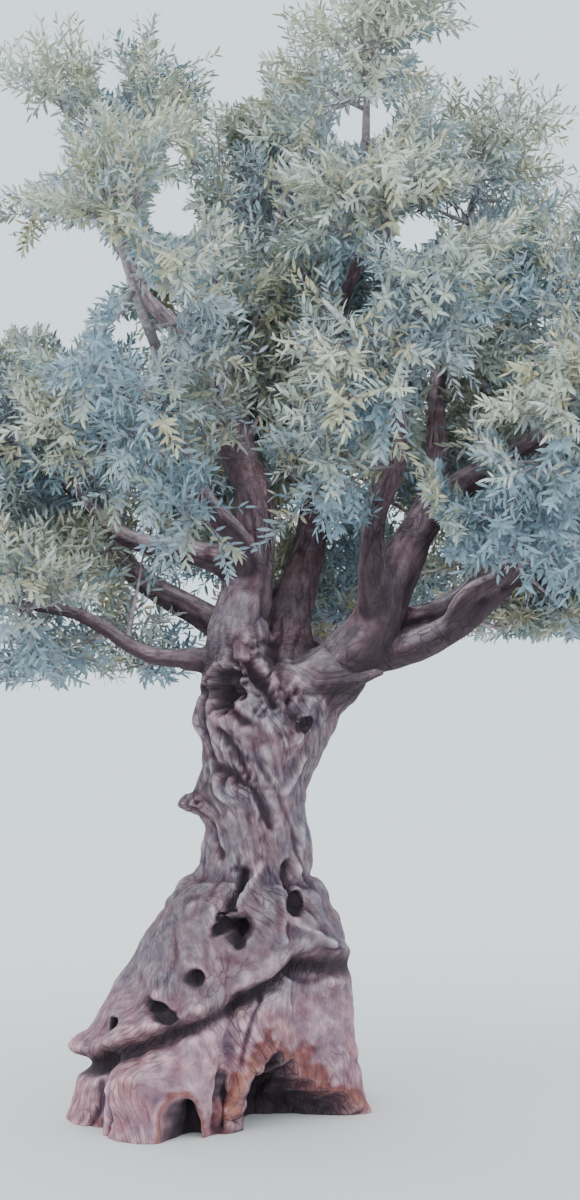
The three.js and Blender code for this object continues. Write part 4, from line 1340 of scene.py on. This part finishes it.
def build_twigs(grown, masses, names):
    """All twigs and the stems of the masses, as one piece."""
    parts = [twig_tubes(joined([one[level] for one in grown]), rule)
             for level, rule in (("main", MAIN), ("side", SIDE), ("shoot", SHOOT))]
    for mass in masses:
        points, faces = tube(mass.points, mass.radii, *cross_axes(tangents(mass.points)), STEM.sides)
        triangles = [[face[0], face[k], face[k + 1]] for face in faces for k in range(1, len(face) - 1)]
        parts.append((points, np.array(triangles)))
    starts = np.cumsum([0] + [len(points) for points, _ in parts])
    faces = np.concatenate([faces + start for (_, faces), start in zip(parts, starts)])
    points = np.concatenate([points for points, _ in parts])
    twigs = new_object("twigs", new_mesh("twigs", points, faces.tolist()))
    finish_piece(twigs, twig_material(), names)


def build_leaves(grown, masses, names):
    """The leaves, dealt out by spray to pieces of one colour each."""
    shoots = joined([one["shoot"] for one in grown])
    light = np.concatenate([painted_spray_light(one["shoot"], mass) for one, mass in zip(grown, masses)])
    random = np.random.default_rng(SEED.first)
    light = light + PAINTED_LIGHT.waver * random.standard_normal(len(light))
    inside = crown_depth(shoots["elbow"], masses) + DEEP.waver * random.standard_normal(len(light))
    # The deepest sprays get the pale blue as painted light; the others get colours by painted light, shaded
    # dark, sunlit pale.
    light[np.argsort(inside)[int((1 - DEEP.share) * len(light)):]] = DEEP.light
    order = np.argsort(light)
    edge = 0.0
    for name, colour, share in LEAF_COLOURS:
        pick = np.sort(order[int(edge * len(order)):int((edge + share) * len(order))])
        edge += share
        material = leaf_material(name, colour)
        batches = max(1, math.ceil(len(pick) * 2 * LEAF.pairs / PIECE_LIMIT))
        for k, batch in enumerate(np.array_split(pick, batches)):
            points, faces = leaf_mesh({key: shoots[key][batch] for key in shoots}, random)
            piece = new_object(f"leaves_{name}_{k + 1}", new_mesh(name, points, faces.tolist()))
            finish_piece(piece, material, names)


def build_foliage(limbs):
    masses = lay_out_masses(limbs)
    names = [mass.name for mass in masses]
    grown = [grow_mass(mass, masses, limbs) for mass in masses]
    build_twigs(grown, masses, names)
    build_leaves(grown, masses, names)


# The studio
def add_light(name, azimuth, rise, strength, softness, colour):
    """A broad distant light from an azimuth and a rise."""
    data = bpy.data.lights.new(name, "SUN")
    data.energy = strength
    data.angle = math.radians(softness)
    data.color = colour
    light = new_object(name, data)
    light.location = STUDIO.far * heading(azimuth, rise)
    light.rotation_euler = (math.radians(90 - rise), 0, math.radians(azimuth + 90))


def add_studio():
    """A plain pale floor, and soft light from above and in front, with a pale sky all round."""
    corners = STUDIO.floor * np.array([(-1, -1, 0), (1, -1, 0), (1, 1, 0), (-1, 1, 0)])
    floor = new_object("floor", new_mesh("floor", corners, [(0, 1, 2, 3)]))
    floor.data.materials.append(Paint("floor", 0.9).finish(STUDIO.floor_colour))
    world = bpy.data.worlds.new("studio")
    world.use_nodes = True
    background = world.node_tree.nodes["Background"]
    background.inputs["Color"].default_value = STUDIO.sky
    background.inputs["Strength"].default_value = STUDIO.strength
    bpy.context.scene.world = world
    for light in LIGHTS:
        add_light(*light)


add_camera()
add_studio()
LIMBS = lay_out_limbs()
build_wood(LIMBS, bark_material())
build_foliage(LIMBS)
